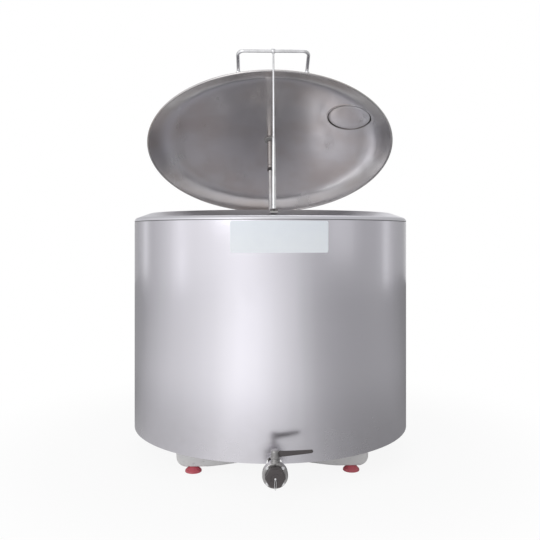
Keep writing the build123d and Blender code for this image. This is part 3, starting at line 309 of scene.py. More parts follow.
def disc_profile(radius, low, high, edge=0.001, bore=0.0):
    """Radius and height round a flat disc or ring with broken edges, from its bottom to its top."""
    return [
        (bore, low),
        (radius - edge, low),
        (radius, low + edge),
        (radius, high - edge),
        (radius - edge, high),
        (bore, high),
    ]


def hex_head(radius, height):
    """A six-sided bolt head: a profile with a chamfered top carried round in six turns, on a washer face."""
    rim = radius * 1.05
    foot = WASHER_HEIGHT / 2
    corners = [(0, foot), (radius, foot), (radius, height * 0.8), (radius * 0.84, height), (0, height)]
    head = turned(corners, 6)
    washer = turned([(0, 0), (rim, 0), (rim, WASHER_HEIGHT), (0, WASHER_HEIGHT)], 24)
    return joined(head, washer)


def blob(size, turns=20, rows=10):
    """A weld bead: an ellipsoid, x = a cos t sin p, y = b sin t sin p, z = c cos p."""
    fall = np.linspace(math.pi, 0, rows)[:, None]
    return as_shape(around(np.sin(fall), circle(turns), np.cos(fall)) * np.array(size))


def without_hole(shape, centre, radius):
    """Cuts a round hole in a sheet of quads, seen along Z.

    Every quad becomes two triangles. Points nearer to the hole's edge than half the longest side there
    are drawn onto it, so no side crosses it, and the triangles inside it go.
    """
    points, faces = shape
    corners = np.concatenate([faces[:, [0, 1, 2]], faces[:, [0, 2, 3]]])
    away = points[:, :2] - centre
    distance = np.linalg.norm(away, axis=1)
    near = np.abs(distance[corners].mean(1) - radius) < radius / 5
    sides = points[corners[near]] - points[np.roll(corners[near], 1, axis=1)]
    reach = np.linalg.norm(sides[..., :2], axis=-1).max() / 2
    drawn = np.abs(distance - radius) < reach
    points = points.copy()
    points[drawn, :2] = centre + away[drawn] / distance[drawn, None] * radius
    inside = np.linalg.norm(points[corners, :2].mean(1) - centre, axis=1) < radius
    kept = corners[~inside]
    return points, np.column_stack([kept, np.full(len(kept), -1)])


def to_mesh(name, shape, sharp):
    """The shape as mesh data: points and face corners go in as whole arrays, then coincident points merge."""
    points, faces = shape
    corner_counts = (faces >= 0).sum(1)
    mesh = bpy.data.meshes.new(name)
    mesh.vertices.add(len(points))
    mesh.vertices.foreach_set("co", points.astype(np.float32).ravel())
    mesh.loops.add(int(corner_counts.sum()))
    mesh.loops.foreach_set("vertex_index", faces[faces >= 0].astype(np.int32))
    mesh.polygons.add(len(faces))
    starts = np.concatenate([[0], np.cumsum(corner_counts)[:-1]])
    mesh.polygons.foreach_set("loop_start", starts.astype(np.int32))
    mesh.update(calc_edges=True)
    work = bmesh.new()
    work.from_mesh(mesh)
    bmesh.ops.remove_doubles(work, verts=work.verts, dist=MERGE_DISTANCE)
    work.to_mesh(mesh)
    work.free()
    mesh.polygons.foreach_set("use_smooth", np.ones(len(mesh.polygons), bool))
    mesh.set_sharp_from_angle(angle=sharp)
    return mesh


def finished(name):
    """The finish of this name, made by one of the functions under Finishes."""
    return bpy.data.materials["tank_" + name]


def piece(name, shape, *nodes, body=None, slot=None, finish=None, sharp=math.radians(32)):
    """Makes a piece that stands for the named nodes, or rides on a body, with its slot's finish."""
    slot = slot or slot_of[nodes[0]]
    made = bpy.data.objects.new(name, to_mesh(name, shape, sharp))
    bpy.context.scene.collection.objects.link(made)
    made.data.materials.append(finished(finish or slot))
    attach(made, body or frame["nodes"][nodes[0]]["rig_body"])
    if nodes:
        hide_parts(*nodes)
    return made


# Shader maths


class Field:
    """A number that varies over a surface; arithmetic on it adds Math nodes."""

    def __init__(self, graph, socket):
        self.graph = graph
        self.socket = socket

    def __add__(self, other):
        return self.graph.math("ADD", self, other)

    def __radd__(self, other):
        return self.graph.math("ADD", other, self)

    def __sub__(self, other):
        return self.graph.math("SUBTRACT", self, other)

    def __rsub__(self, other):
        return self.graph.math("SUBTRACT", other, self)

    def __mul__(self, other):
        return self.graph.math("MULTIPLY", self, other)

    def __rmul__(self, other):
        return self.graph.math("MULTIPLY", other, self)

    def __truediv__(self, other):
        return self.graph.math("DIVIDE", self, other)


class Graph:
    """The nodes of a material or of the world."""

    def __init__(self, owner):
        owner.use_nodes = True
        self.tree = owner.node_tree
        self.tree.nodes.clear()

    def node(self, kind, settings=None, sockets=None, output=0):
        """Adds a node: its settings are set first, then its sockets get their values or links."""
        made = self.tree.nodes.new(kind)
        for key, value in (settings or {}).items():
            if key == "stops":
                ramp = made.color_ramp
                while len(ramp.elements) < len(value):
                    ramp.elements.new(1.0)
                for element, (position, shade) in zip(ramp.elements, value):
                    element.position = position
                    element.color = (shade, shade, shade, 1)
            else:
                setattr(made, key, value)
        for key, value in (sockets or {}).items():
            if isinstance(value, Field):
                self.tree.links.new(value.socket, made.inputs[key])
            else:
                made.inputs[key].default_value = value
        if isinstance(output, tuple):
            return tuple(Field(self, made.outputs[name]) for name in output)
        return Field(self, made.outputs[output])

    def math(self, operation, *values):
        """One Math node."""
        return self.node("ShaderNodeMath", {"operation": operation}, dict(enumerate(values)))

    def spot(self, place=None):
        """X, Y and Z of the point on the piece, or along the directions of a place."""
        where = self.node("ShaderNodeTexCoord", output="Object")
        if place is not None:
            turn = Matrix(place[:3, :3].tolist()).to_euler()
            sockets = {"Vector": where, "Location": place[:3, 3].tolist(), "Rotation": turn}
            where = self.node("ShaderNodeMapping", {"vector_type": "TEXTURE"}, sockets)
        return self.node("ShaderNodeSeparateXYZ", None, {0: where}, ("X", "Y", "Z"))

    def noise(self, x, y, z, detail=3.0):
        """Smooth noise of about 0 to 1 at the place that the three numbers give."""
        where = self.node("ShaderNodeCombineXYZ", None, {0: x, 1: y, 2: z})
        sockets = {"Vector": where, "Scale": 1.0, "Detail": detail, "Roughness": 0.55}
        return self.node("ShaderNodeTexNoise", None, sockets)

    def band(self, value, middle_at, half_width):
        """1 where the value is at the middle, falling smoothly to 0 half a width away."""
        return self.ease(self.math("ABSOLUTE", value - middle_at), half_width, 0.0)

    def ease(self, value, start, end):
        """0 before start, 1 after end, and smooth between them."""
        limits = {"Value": value, "From Min": start, "From Max": end, "To Min": 0.0, "To Max": 1.0}
        return self.node("ShaderNodeMapRange", {"interpolation_type": "SMOOTHSTEP", "clamp": True}, limits)

    def blend(self, share, first, second):
        """A colour between two others."""
        sockets = {0: share, 6: first, 7: second}
        return self.node("ShaderNodeMix", {"data_type": "RGBA"}, sockets, 2)

    def bump(self, height, distance):
        """The normal over a relief whose 0 to 1 is a distance in metres."""
        sockets = {"Strength": 1.0, "Distance": distance, "Height": height}
        return self.node("ShaderNodeBump", None, sockets, "Normal")

    def surface(self, sockets):
        """Ends a material in one Principled shader."""
        shader = self.node("ShaderNodeBsdfPrincipled", None, sockets, "BSDF")
        self.node("ShaderNodeOutputMaterial", None, {"Surface": shader}, ())


def shade(colour, factor=1.0):
    """A colour as it is or made lighter or darker, with an alpha of one."""
    return (*[min(1.0, part * factor) for part in colour[:3]], 1.0)


def tint(colour, other, share):
    """A colour moved towards another by a share."""
    return (*[a + (b - a) * share for a, b in zip(colour[:3], other[:3])], 1.0)


# Finishes

DUST = (0.50, 0.48, 0.46, 1)
FLOOR_DUST = (0.42, 0.39, 0.36, 1)
COOL_TONE = (0.70, 0.68, 0.78)
GAP_SHADOW = (0.03, 0.03, 0.035, 1)
# Painted highlight: the colour that the lid's knuckle is lightened towards.
KNUCKLE_HIGHLIGHT = (0.88, 0.88, 0.91, 1)
FILM_MARGIN = (0.76, 0.84, 0.96)


def rolled_steel(name, colour, radius, roughness, seam):
    """Sheet brushed along its length and rolled round Z, with long waves, and a dark band of painted shade in
    the groove at the seam's height.
    """
    graph = Graph(bpy.data.materials.new("tank_" + name))
    x, y, z = graph.spot()
    arc = graph.math("ARCTAN2", x, 0 - y) * radius
    strokes = graph.noise(arc * 2.5, 0.0, z * 170.0)
    hairs = graph.noise(arc * 9.0, 4.0, z * 900.0, 2.0)
    cloud = graph.noise(arc * 2.2, 9.0, z * 1.6, 4.0)
    waves = graph.noise(arc * 8.0, 2.0, z * 0.8, 2.0)
    dust = graph.ease(z, 0.34, 0.10) * graph.noise(arc * 20.0, 1.0, z * 26.0, 5.0)
    grain = strokes * 0.6 + hairs * 0.4
    smear = graph.ease(graph.noise(arc * 6.0, 3.0, z * 4.0, 5.0), 0.52, 0.72)
    plain = graph.blend(grain, shade(colour, 0.95), shade(colour, 1.03))
    toned = graph.blend(cloud, plain, tint(colour, COOL_TONE, 0.5))
    # Painted shade: the colour is darkened in a band at the seam's height, where the groove between wall and
    # deck lies in shadow.
    groove_shade = graph.band(z, seam, 0.0026) * (0.70 + 0.30 * waves)
    groove_shaded = graph.blend(groove_shade, toned, GAP_SHADOW)
    graph.surface(
        {
            "Base Color": graph.blend(dust * 0.25, groove_shaded, DUST),
            "Metallic": 1.0,
            "Roughness": roughness + (grain - 0.5) * 0.10 + smear * 0.05 + dust * 0.10,
            "Anisotropic": 0.70,
            "Normal": graph.bump(grain * 0.012 + waves, 0.0014),
        }
    )


def spun_steel(name, colour, stain, roughness, place, knuckle):
    """Sheet spun into a dish: fine rings, wiped patches, and a lighter ring over the knuckle, a painted
    highlight.
    """
    graph = Graph(bpy.data.materials.new("tank_" + name))
    x, y, z = graph.spot(place)
    radius = graph.math("SQRT", x * x + y * y)
    turn = graph.math("ARCTAN2", y, x)
    rings = graph.noise(radius * 260.0, turn * 1.2, 0.0, 3.0)
    patches = graph.noise(x * 3.2, y * 3.2, 3.0, 4.0)
    wiped = graph.noise(x * 9.0, y * 2.6, 7.0, 5.0)
    waves = graph.noise(x * 5.0, y * 5.0, 1.0, 2.0)
    stained = graph.ease(patches, 0.42, 0.66)
    # Painted highlight: the colour is lightened in a ring over the knuckle, where the lid's reflection would
    # be bright.
    knuckle_highlight = graph.band(radius + (wiped - 0.5) * 0.02, knuckle, 0.045)
    plain = graph.blend(stained, shade(colour), shade(stain))
    graph.surface(
        {
            "Base Color": graph.blend(knuckle_highlight * 0.5, plain, KNUCKLE_HIGHLIGHT),
            "Metallic": 1.0,
            "Roughness": roughness + (rings - 0.5) * 0.10 + graph.ease(wiped, 0.45, 0.7) * 0.10,
            "Normal": graph.bump(rings * 0.02 + waves, 0.0010),
        }
    )


def bare_metal(name, colour, dull, roughness, grain, relief):
    """Machined or buffed metal: tool marks of a given count per metre, dulled in patches by handling."""
    graph = Graph(bpy.data.materials.new("tank_" + name))
    x, y, z = graph.spot()
    marks = graph.noise(x * grain, y * grain, z * grain, 3.0)
    patches = graph.noise(x * 14.0, y * 14.0, z * 14.0, 5.0)
    handled = graph.ease(patches, 0.46, 0.64)
    graph.surface(
        {
            "Base Color": graph.blend(handled, shade(colour), shade(dull)),
            "Metallic": 1.0,
            "Roughness": roughness + (marks - 0.5) * 0.08 + handled * 0.10,
            "Normal": graph.bump(marks, relief),
        }
    )


def skin_coat(name, colour, worn, roughness, grain, relief, coat=0.0, specular=0.5):
    """Paint, rubber or moulded plastic: a fine skin, slow changes of tone, and dust that settles low down."""
    graph = Graph(bpy.data.materials.new("tank_" + name))
    x, y, z = graph.spot()
    skin = graph.noise(x * grain, y * grain, z * grain, 2.0)
    cloud = graph.noise(x * 7.0, y * 7.0, z * 7.0, 4.0)
    scuff = graph.ease(graph.noise(x * 38.0, y * 38.0, z * 90.0, 6.0), 0.60, 0.72)
    dust = graph.ease(z, 0.10, 0.0) * cloud
    toned = graph.blend(cloud, shade(colour, 0.93), shade(colour, 1.06))
    marked = graph.blend(scuff * 0.35, toned, shade(worn))
    graph.surface(
        {
            "Base Color": graph.blend(dust * 0.4, marked, FLOOR_DUST),
            "Roughness": roughness + (cloud - 0.5) * 0.10 + scuff * 0.12 + dust * 0.1,
            "Specular IOR Level": specular,
            "Coat Weight": coat,
            "Coat Roughness": 0.15,
            "Normal": graph.bump(skin, relief),
        }
    )


def blank_film(name, colour, low, high):
    """A blank film: a pale ground, deeper towards its upper edge, with small bubbles and a soft gloss."""
    graph = Graph(bpy.data.materials.new("tank_" + name))
    x, _, z = graph.spot()
    rise = graph.ease(z, low, high)
    mottle = graph.noise(x * 30.0, 0.0, z * 30.0, 4.0)
    bubble = graph.ease(graph.noise(x * 70.0, 3.0, z * 70.0, 1.0), 0.66, 0.74)
    ground = graph.blend(mottle, shade(colour, 0.97), shade(colour, 1.03))
    graph.surface(
        {
            "Base Color": graph.blend(rise * 0.35, ground, tint(colour, FILM_MARGIN, 0.6)),
            "Roughness": 0.36 + mottle * 0.12,
            "Coat Weight": 0.6,
            "Coat Roughness": 0.2,
            "Normal": graph.bump(bubble, 0.0002),
        }
    )


class TankColours(bpy.types.PropertyGroup):
    """Colours of the tank's finishes."""

    shell: bpy.props.FloatVectorProperty(
        name="Shell", description="Brushed sheet of the wall", subtype="COLOR", default=(0.80, 0.785, 0.83)
    )
    deck: bpy.props.FloatVectorProperty(
        name="Deck", description="Satin sheet of the deck", subtype="COLOR", default=(0.86, 0.86, 0.88)
    )
    lid: bpy.props.FloatVectorProperty(
        name="Lid", description="Spun sheet of the lid", subtype="COLOR", default=(0.66, 0.64, 0.64)
    )
    lid_stain: bpy.props.FloatVectorProperty(
        name="Lid stain", description="Warmer patches on the lid", subtype="COLOR", default=(0.60, 0.55, 0.53)
    )
    vessel: bpy.props.FloatVectorProperty(
        name="Vessel", description="Milk side of the vessel", subtype="COLOR", default=(0.62, 0.62, 0.64)
    )
    bright: bpy.props.FloatVectorProperty(
        name="Bright steel", description="Rods, handle and bolts", subtype="COLOR", default=(0.86, 0.86, 0.88)
    )
    fitting: bpy.props.FloatVectorProperty(
        name="Fittings", description="Machined fittings", subtype="COLOR", default=(0.42, 0.41, 0.41)
    )
    paint: bpy.props.FloatVectorProperty(
        name="Frame paint", description="Paint of the base frame", subtype="COLOR", default=(0.84, 0.84, 0.84)
    )
    rubber: bpy.props.FloatVectorProperty(
        name="Feet", description="Red rubber of the feet", subtype="COLOR", default=(0.70, 0.05, 0.10)
    )
    plastic: bpy.props.FloatVectorProperty(
        name="Dark plastic", description="Lever, cap, knobs", subtype="COLOR", default=(0.090, 0.080, 0.082)
    )
    film: bpy.props.FloatVectorProperty(
        name="Blank film", description="Ground of the blank film", subtype="COLOR", default=(0.90, 0.94, 1.0)
    )


class TankSizes(bpy.types.PropertyGroup):
    """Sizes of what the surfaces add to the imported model."""

    deck_slope: bpy.props.FloatProperty(
        name="Deck slope", description="Outward fall of the deck", subtype="ANGLE",
        default=math.radians(19.5)
    )
    shoulder: bpy.props.FloatProperty(
        name="Shoulder", description="Radius of the deck's outer bend", unit="LENGTH", default=0.016
    )
    band_height: bpy.props.FloatProperty(
        name="Band height", description="Height of the lid's conical band", unit="LENGTH", default=0.036
    )
    band_radius: bpy.props.FloatProperty(
        name="Band radius", description="Where the band meets the crown", unit="LENGTH", default=0.437
    )
    knuckle: bpy.props.FloatProperty(
        name="Knuckle", description="How softly band and crown meet", unit="LENGTH", default=0.010
    )
    film_width: bpy.props.FloatProperty(
        name="Film width", description="Width of the blank film round the wall", unit="LENGTH", default=0.335
    )
    film_height: bpy.props.FloatProperty(
        name="Film height", description="Height of the blank film", unit="LENGTH", default=0.107
    )
    film_turn: bpy.props.FloatProperty(
        name="Film turn", description="Where the film's middle stands, from the front", subtype="ANGLE",
        default=math.radians(2.0)
    )


class TankStage(bpy.types.PropertyGroup):
    """Camera and light."""

    distance: bpy.props.FloatProperty(
        name="Distance", description="Camera to the tank's axis", unit="LENGTH", default=2.75
    )
    eye_height: bpy.props.FloatProperty(
        name="Eye height", description="Camera over the floor", unit="LENGTH", default=0.851
    )
    turn: bpy.props.FloatProperty(
        name="Turn", description="Camera's turn from the tank's front", subtype="ANGLE",
        default=math.radians(-1.3)
    )
    lens: bpy.props.FloatProperty(name="Lens", description="Focal length in millimetres", default=44.33)
    horizon: bpy.props.FloatProperty(name="Horizon", description="Upward shift of the lens", default=-0.063)
    key_power: bpy.props.FloatProperty(
        name="Key lamp", description="Power of the left lamp", unit="POWER", default=22.0
    )
    fill_power: bpy.props.FloatProperty(
        name="Fill lamp", description="Power of the right lamp", unit="POWER", default=3.0
    )
    top_power: bpy.props.FloatProperty(
        name="Top lamp", description="Power of the upper lamp", unit="POWER", default=18.0
    )
    bounce_power: bpy.props.FloatProperty(
        name="Bounce lamp", description="Power of the wide lamp in the vessel", unit="POWER", default=0.26
    )
    glint_power: bpy.props.FloatProperty(
        name="Glint lamp", description="Power of the small lamp in the vessel", unit="POWER", default=0.05
    )


class TankOperator:
    """What every operator of the tank shares."""

    bl_options = {"REGISTER", "UNDO"}

    def execute(self, context):
        """Builds this operator's pieces from the scene's settings."""
        self.build(context.scene.tank_sizes, context.scene.tank_colours, context.scene.tank_stage)
        return {"FINISHED"}


class TANK_OT_finishes(TankOperator, bpy.types.Operator):
    """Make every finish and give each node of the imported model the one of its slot"""

    bl_idname = "tank.finishes"
    bl_label = "Finishes"

    def sheets(self, sizes, colours):
        """The rolled and spun sheets, which share the seam's height and the wall's radius."""
        wall, rim = span("outer_shell")[1][[0, 2]]
        seam = rim + TANK_OT_shell.deck_groove / 2
        rolled_steel("brushed_shell", colours.shell, wall, 0.20, seam)
        rolled_steel("deck_steel", colours.deck, wall, 0.38, seam)
        rolled_steel("vessel_steel", colours.vessel, wall, 0.30, seam)
        spun_steel("lid_steel", colours.lid, colours.lid_stain, 0.19, lid_place, sizes.band_radius)
        blank_film("blank_film", colours.film, rim - sizes.film_height, rim)

    def metals(self, colours):
        """The turned, cast and drawn metals."""
        bare_metal("bright_steel", colours.bright, shade(colours.bright, 0.85), 0.12, 400.0, 0.00001)
        bare_metal("fitting_steel", colours.fitting, shade(colours.fitting, 0.75), 0.20, 260.0, 0.00012)
        bare_metal("alloy", (0.74, 0.75, 0.76), (0.55, 0.56, 0.57), 0.42, 520.0, 0.00012)
        bare_metal("copper_pipe", (0.86, 0.43, 0.27), (0.46, 0.22, 0.13), 0.22, 90.0, 0.00004)

    def coats(self, colours):
        """Paints, rubbers, plastics and the foam."""
        skin_coat("frame_paint", colours.paint, (0.40, 0.40, 0.41), 0.42, 420.0, 0.00005, coat=0.2)
        skin_coat("red_rubber", colours.rubber, (0.50, 0.12, 0.14), 0.45, 700.0, 0.00006, coat=0.3)
        skin_coat("white_foam", (0.82, 0.78, 0.62), (0.6, 0.5, 0.3), 0.9, 300.0, 0.0006)
        skin_coat("dark_plastic", colours.plastic, (0.16, 0.15, 0.15), 0.36, 800.0, 0.00008, specular=0.3)
        skin_coat("pale_silicone", (0.40, 0.39, 0.39), (0.30, 0.29, 0.29), 0.50, 700.0, 0.00008)
        skin_coat("black_rubber", (0.022, 0.022, 0.024), (0.09, 0.09, 0.09), 0.66, 600.0, 0.0001)
        skin_coat("black_enamel", (0.018, 0.018, 0.020), (0.10, 0.09, 0.08), 0.28, 240.0, 0.00005, coat=0.4)
        skin_coat("box_plastic", (0.66, 0.66, 0.63), (0.46, 0.45, 0.42), 0.46, 900.0, 0.00006)

    def build(self, sizes, colours, stage):
        self.sheets(sizes, colours)
        self.metals(colours)
        self.coats(colours)
        for name, slot in slot_of.items():
            node = frame["nodes"][name]
            node.data.materials.clear()
            node.data.materials.append(finished("pale_silicone" if name == "shaft_seal" else slot))


class TANK_OT_shell(TankOperator, bpy.types.Operator):
    """Make the outer wall and the deck"""

    bl_idname = "tank.shell"
    bl_label = "Shell and deck"

    sheet = 0.0015
    foot_return = 0.016
    deck_sheet = 0.002
    deck_sheet_straight_down = 0.0022
    deck_groove = 0.0036
    groove_bend = 0.0008
    tongue_gap = 0.0002
    under_bend_less = 0.004
    opening_roll = 0.008
    notch_gap = 0.006
    notch_steps = 41
    turns = 360

    def wall(self):
        """Rings of the wall; its foot follows z = outlet + sqrt(notch squared - x squared) where higher."""
        low, high = span("outer_shell")
        notch = self.pipe_radius() + self.notch_gap
        edge = math.asin(notch / high[0])
        fine = np.linspace(-edge, edge, self.notch_steps)
        even = np.linspace(-math.pi, math.pi, self.turns, endpoint=False)
        turn = np.unique(np.concatenate([even[np.abs(even) > edge], fine]))
        across = high[0] * np.sin(turn)
        front = np.cos(turn) > 0
        rise = np.sqrt(np.clip(notch**2 - across**2, 0, None)) * front
        foot = np.where(rise > 0, np.maximum(low[2], outlet_point[2] + rise), low[2])
        inner = high[0] - self.sheet
        back = high[0] - self.foot_return
        rings = (
            (high[0], foot),
            (high[0], high[2]),
            (inner, high[2]),
            (inner, foot + self.sheet),
            (back, foot + self.sheet),
            (back, foot),
        )
        grid = np.stack([from_front(radius, turn, height) for radius, height in rings])
        return as_shape(grid, wrap_rows=True)

    def pipe_radius(self):
        """Half the outlet pipe's width, measured where only the pipe is."""
        points = corners_of("outlet_pipe")
        front = points[:, 1] < points[:, 1].min() + self.sheet
        return float(np.abs(points[front, 0]).max())

    def deck(self, slope, shoulder):
        """Tongue, groove, shoulder arc, sloping sheet, rolled opening edge and the same line back below."""
        low, high = span("top_deck")
        groove_top = span("outer_shell")[1][2] + self.deck_groove
        vessel = span("inner_vessel")[1]
        opening = vessel[0] - self.deck_sheet
        rise = math.tan(slope)
        corner = high[2] - (high[0] - opening - self.opening_roll / 2) * rise
        tongue = high[0] - self.sheet - self.tongue_gap
        inner = tongue - self.deck_sheet
        below = self.deck_sheet_straight_down
        top = corner + (high[0] - opening) * rise
        corners = [
            (tongue, low[2]),
            (tongue, groove_top),
            (high[0], groove_top),
            (high[0], corner),
            (opening, top),
            (opening, vessel[2]),
            (vessel[0], vessel[2]),
            (vessel[0], top - 2 * below),
            (inner, corner + (high[0] - inner) * rise - below),
            (inner, low[2]),
        ]
        radii = [0, self.groove_bend, shoulder, self.opening_roll, 0, 0, 0, shoulder - self.under_bend_less]
        return turned(rounded(corners, radii, 10), self.turns, closed=True)

    def build(self, sizes, colours, stage):
        piece("wall", self.wall(), "outer_shell")
        piece("deck", self.deck(sizes.deck_slope, sizes.shoulder), "top_deck")


class TANK_OT_film(TankOperator, bpy.types.Operator):
    """Lay the blank film on the front of the wall"""

    bl_idname = "tank.film"
    bl_label = "Blank film"

    lift = 0.0003
    corner = 0.006
    corner_steps = 7
    margin = 0.003
    columns = 90

    def build(self, sizes, colours, stage):
        """Rows up the wall, each as wide as the rounded corners leave it; flat x becomes the turn x / r."""
        radius, rim = span("outer_shell")[1][[0, 2]]
        half = sizes.film_height / 2
        bend = np.linspace(0, math.pi / 2, self.corner_steps)
        climb = half - self.corner * (1 - np.sin(bend))
        inset = self.corner * (1 - np.cos(bend))
        height = np.concatenate([-climb[::-1], climb])[:, None]
        wide = sizes.film_width / 2 - np.concatenate([inset[::-1], inset])[:, None]
        turn = sizes.film_turn + wide * np.linspace(-1, 1, self.columns) / radius
        out = np.full_like(turn, radius + self.lift)
        out[[0, -1]] = out[:, [0, -1]] = radius
        sheet = as_shape(from_front(out, turn, rim - self.margin - half + height), wrap_columns=False)
        piece("film", sheet, body="tank", slot="box_plastic", finish="blank_film")


class TANK_OT_vessel(TankOperator, bpy.types.Operator):
    """Make the milk vessel with its sloping floor, sump and outlet pipe"""

    bl_idname = "tank.vessel"
    bl_label = "Milk vessel"

    sheet = 0.002
    plate_gap = 0.003
    floor_slope = math.radians(3.0)
    floor_steps = 30
    bend = 0.025
    bend_steps = 10
    turns = 256
    sump = 0.0345
    sump_chamfer = 0.006
    sump_foot = 0.004
    sump_top_gap = 0.004
    pipe_sheet = 0.0015
    pipe_radius = 0.0205
    pipe_bore = 0.019
    pipe_end = -0.031
    weld_end = -0.032
    weld_half = 0.002
    weld_height = 0.0027

    def basin(self, radius, drop):
        """Wall, bend and floor: the floor's rings go from the wall's circle to the sump's in equal shares."""
        top = span("inner_vessel")[1][2]
        slope = math.tan(self.floor_slope)
        floor_at = float(middle("evaporator_plate")[2]) + self.plate_gap + self.sheet - drop
        turn = circle(self.turns)
        direction = np.stack([np.cos(turn), np.sin(turn)], axis=1)
        fall = np.linspace(0, math.pi / 2, self.bend_steps)[:, None]
        bend = self.bend + drop
        edge = (radius - bend + bend * np.cos(fall))[..., None] * direction
        edge_height = floor_at + edge[..., 1] * slope + bend * (1 - np.sin(fall))
        share = np.linspace(0, 1, self.floor_steps)[1:, None, None]
        sump_line = np.array((0, middle_of_sump())) + self.sump * direction
        floor = edge[-1] * (1 - share) + sump_line * share
        floor_height = floor_at + floor[..., 1] * slope
        flat = np.concatenate([[radius * direction], edge, floor])
        height = np.concatenate([[np.full(self.turns, top)], edge_height, floor_height])
        return np.concatenate([flat, height[..., None]], axis=-1)

    def pit(self):
        """The sump's round wall and its chamfered bottom."""
        low, high = span("outlet_pipe")
        bottom, top = low[2], high[2] - self.sump_top_gap
        outer = self.sump + self.pipe_sheet
        profile = [
            (0, bottom),
            (self.sump - self.sump_foot, bottom),
            (outer, bottom + self.sump_chamfer),
            (outer, top),
            (self.sump, top),
            (self.sump, bottom + self.sump_chamfer),
            (self.sump - self.sump_foot - 0.001, bottom + self.pipe_sheet),
            (0, bottom + self.pipe_sheet),
        ]
        return placed(turned(profile, 64), place_at((0, middle_of_sump(), 0), (0, 0, 1)))

    def pipe(self):
        """The pipe from the sump to the valve, with the weld's ring round its end."""
        start = outlet_point[1] - middle_of_sump() + self.sump
        profile = disc_profile(self.pipe_radius, start, self.pipe_end, 0.0005, self.pipe_bore)
        section = [
            (self.pipe_radius, self.weld_end - 2 * self.weld_half),
            (self.pipe_radius + self.weld_height, self.weld_end - self.weld_half),
            (self.pipe_radius, self.weld_end),
        ]
        weld = turned(loop(section, 0.0006, 3), 64, closed=True)
        return placed(joined(turned(profile, 64, closed=True), weld), outlet_place)

    def build(self, sizes, colours, stage):
        outer = span("inner_vessel")[1][0]
        basin = np.concatenate([self.basin(outer - self.sheet, 0.0), self.basin(outer, self.sheet)[::-1]])
        piece("basin", as_shape(basin, wrap_rows=True), "inner_vessel")
        piece("outlet", joined(self.pit(), self.pipe()), "outlet_pipe")


def middle_of_sump():
    """Y of the sump's middle: its round wall ends where the outlet pipe's node ends at the back."""
    low, high = span("outlet_pipe")
    return float(high[1] - (high[0] - low[0]) / 2)


def lid_rim():
    """Radius of the circle that the middle of the lid's bead runs on."""
    bead = span("lid_bead", lid_place)[1]
    return bead[0] - bead[2]


def dish_height(sizes, radius):
    """Height over the rim: the softly lower of a cone from the rim and a sphere through crown and band."""
    rim = lid_rim()
    crown = span("lid_shell", lid_place)[1][2]
    sphere = (sizes.band_radius**2 + (crown - sizes.band_height) ** 2) / (2 * (crown - sizes.band_height))
    cone = sizes.band_height * (rim - radius) / (rim - sizes.band_radius)
    dome = crown - sphere + np.sqrt(sphere**2 - radius**2)
    return (cone + dome - np.sqrt((cone - dome) ** 2 + sizes.knuckle**2)) / 2


class TANK_OT_lid(TankOperator, bpy.types.Operator):
    """Make the dished lid, its bead and its lifting handle"""

    bl_idname = "tank.lid"
    bl_label = "Lid"

    sheet = 0.0015
    shaft_hole = 0.0165
    turns = 288
    crown_rows = 64
    band_rows = 30
    crown_share = 0.96
    handle_bend = 0.022
    weld_rise = 1.2

    def dish(self, sizes):
        """The dish's sheet from rim to shaft hole, with a round hole for the milk inlet."""
        crown_edge = sizes.band_radius * self.crown_share
        near = np.linspace(self.shaft_hole, crown_edge, self.crown_rows)
        far = np.linspace(crown_edge, lid_rim(), self.band_rows)[1:]
        radius = np.concatenate([near, far])[::-1, None]
        grid = around(radius, circle(self.turns), dish_height(sizes, radius))
        down = np.array((0, 0, self.sheet))
        outer = without_hole(as_shape(grid), hatch_middle[:2], span("hatch_collar", hatch_place)[1][0])
        inner = (outer[0] - down, np.where(outer[1] < 0, -1, outer[1][:, [0, 2, 1, 3]]))
        edges = grid[[-1, 0]]
        hems = np.stack([edges, edges - down])
        return joined(outer, inner, as_shape(hems[:, 0]), as_shape(hems[::-1, 1]))

    def handle_shape(self):
        """A round bar through four corners, with a flattened weld bead round the foot of each leg."""
        low, high = span("handle", lid_place)
        rod = (high[2] - low[2]) / 2
        side = high[0] - rod
        level = low[2] + rod
        foot, reach = high[1], low[1] + rod
        corners = [(-side, foot, level), (-side, reach, level), (side, reach, level), (side, foot, level)]
        bar = swept(rounded(corners, self.handle_bend, 12), rod, 28)
        touch = math.sqrt(lid_rim() ** 2 - side**2)
        weld_level = span("lid_bead", lid_place)[1][2] * self.weld_rise
        spots = [place_at((x, -touch, weld_level), (0, 0, 1)) for x in (-side, side)]
        return joined(bar, repeated(blob((rod * 1.5, rod * 1.1, rod * 0.8)), spots))

    def bead(self):
        """A round bead whose section's circle is centred on the rim."""
        radius = span("lid_bead", lid_place)[1][2]
        turn = circle(24)
        section = np.column_stack([lid_rim() + radius * np.cos(turn), radius * np.sin(turn)])
        return turned(section, self.turns, closed=True)

    def build(self, sizes, colours, stage):
        piece("dish", placed(self.dish(sizes), lid_place), "lid_shell", sharp=math.radians(60))
        piece("rim_bead", placed(self.bead(), lid_place), "lid_bead")
        piece("lift_bar", placed(self.handle_shape(), lid_place), "handle")


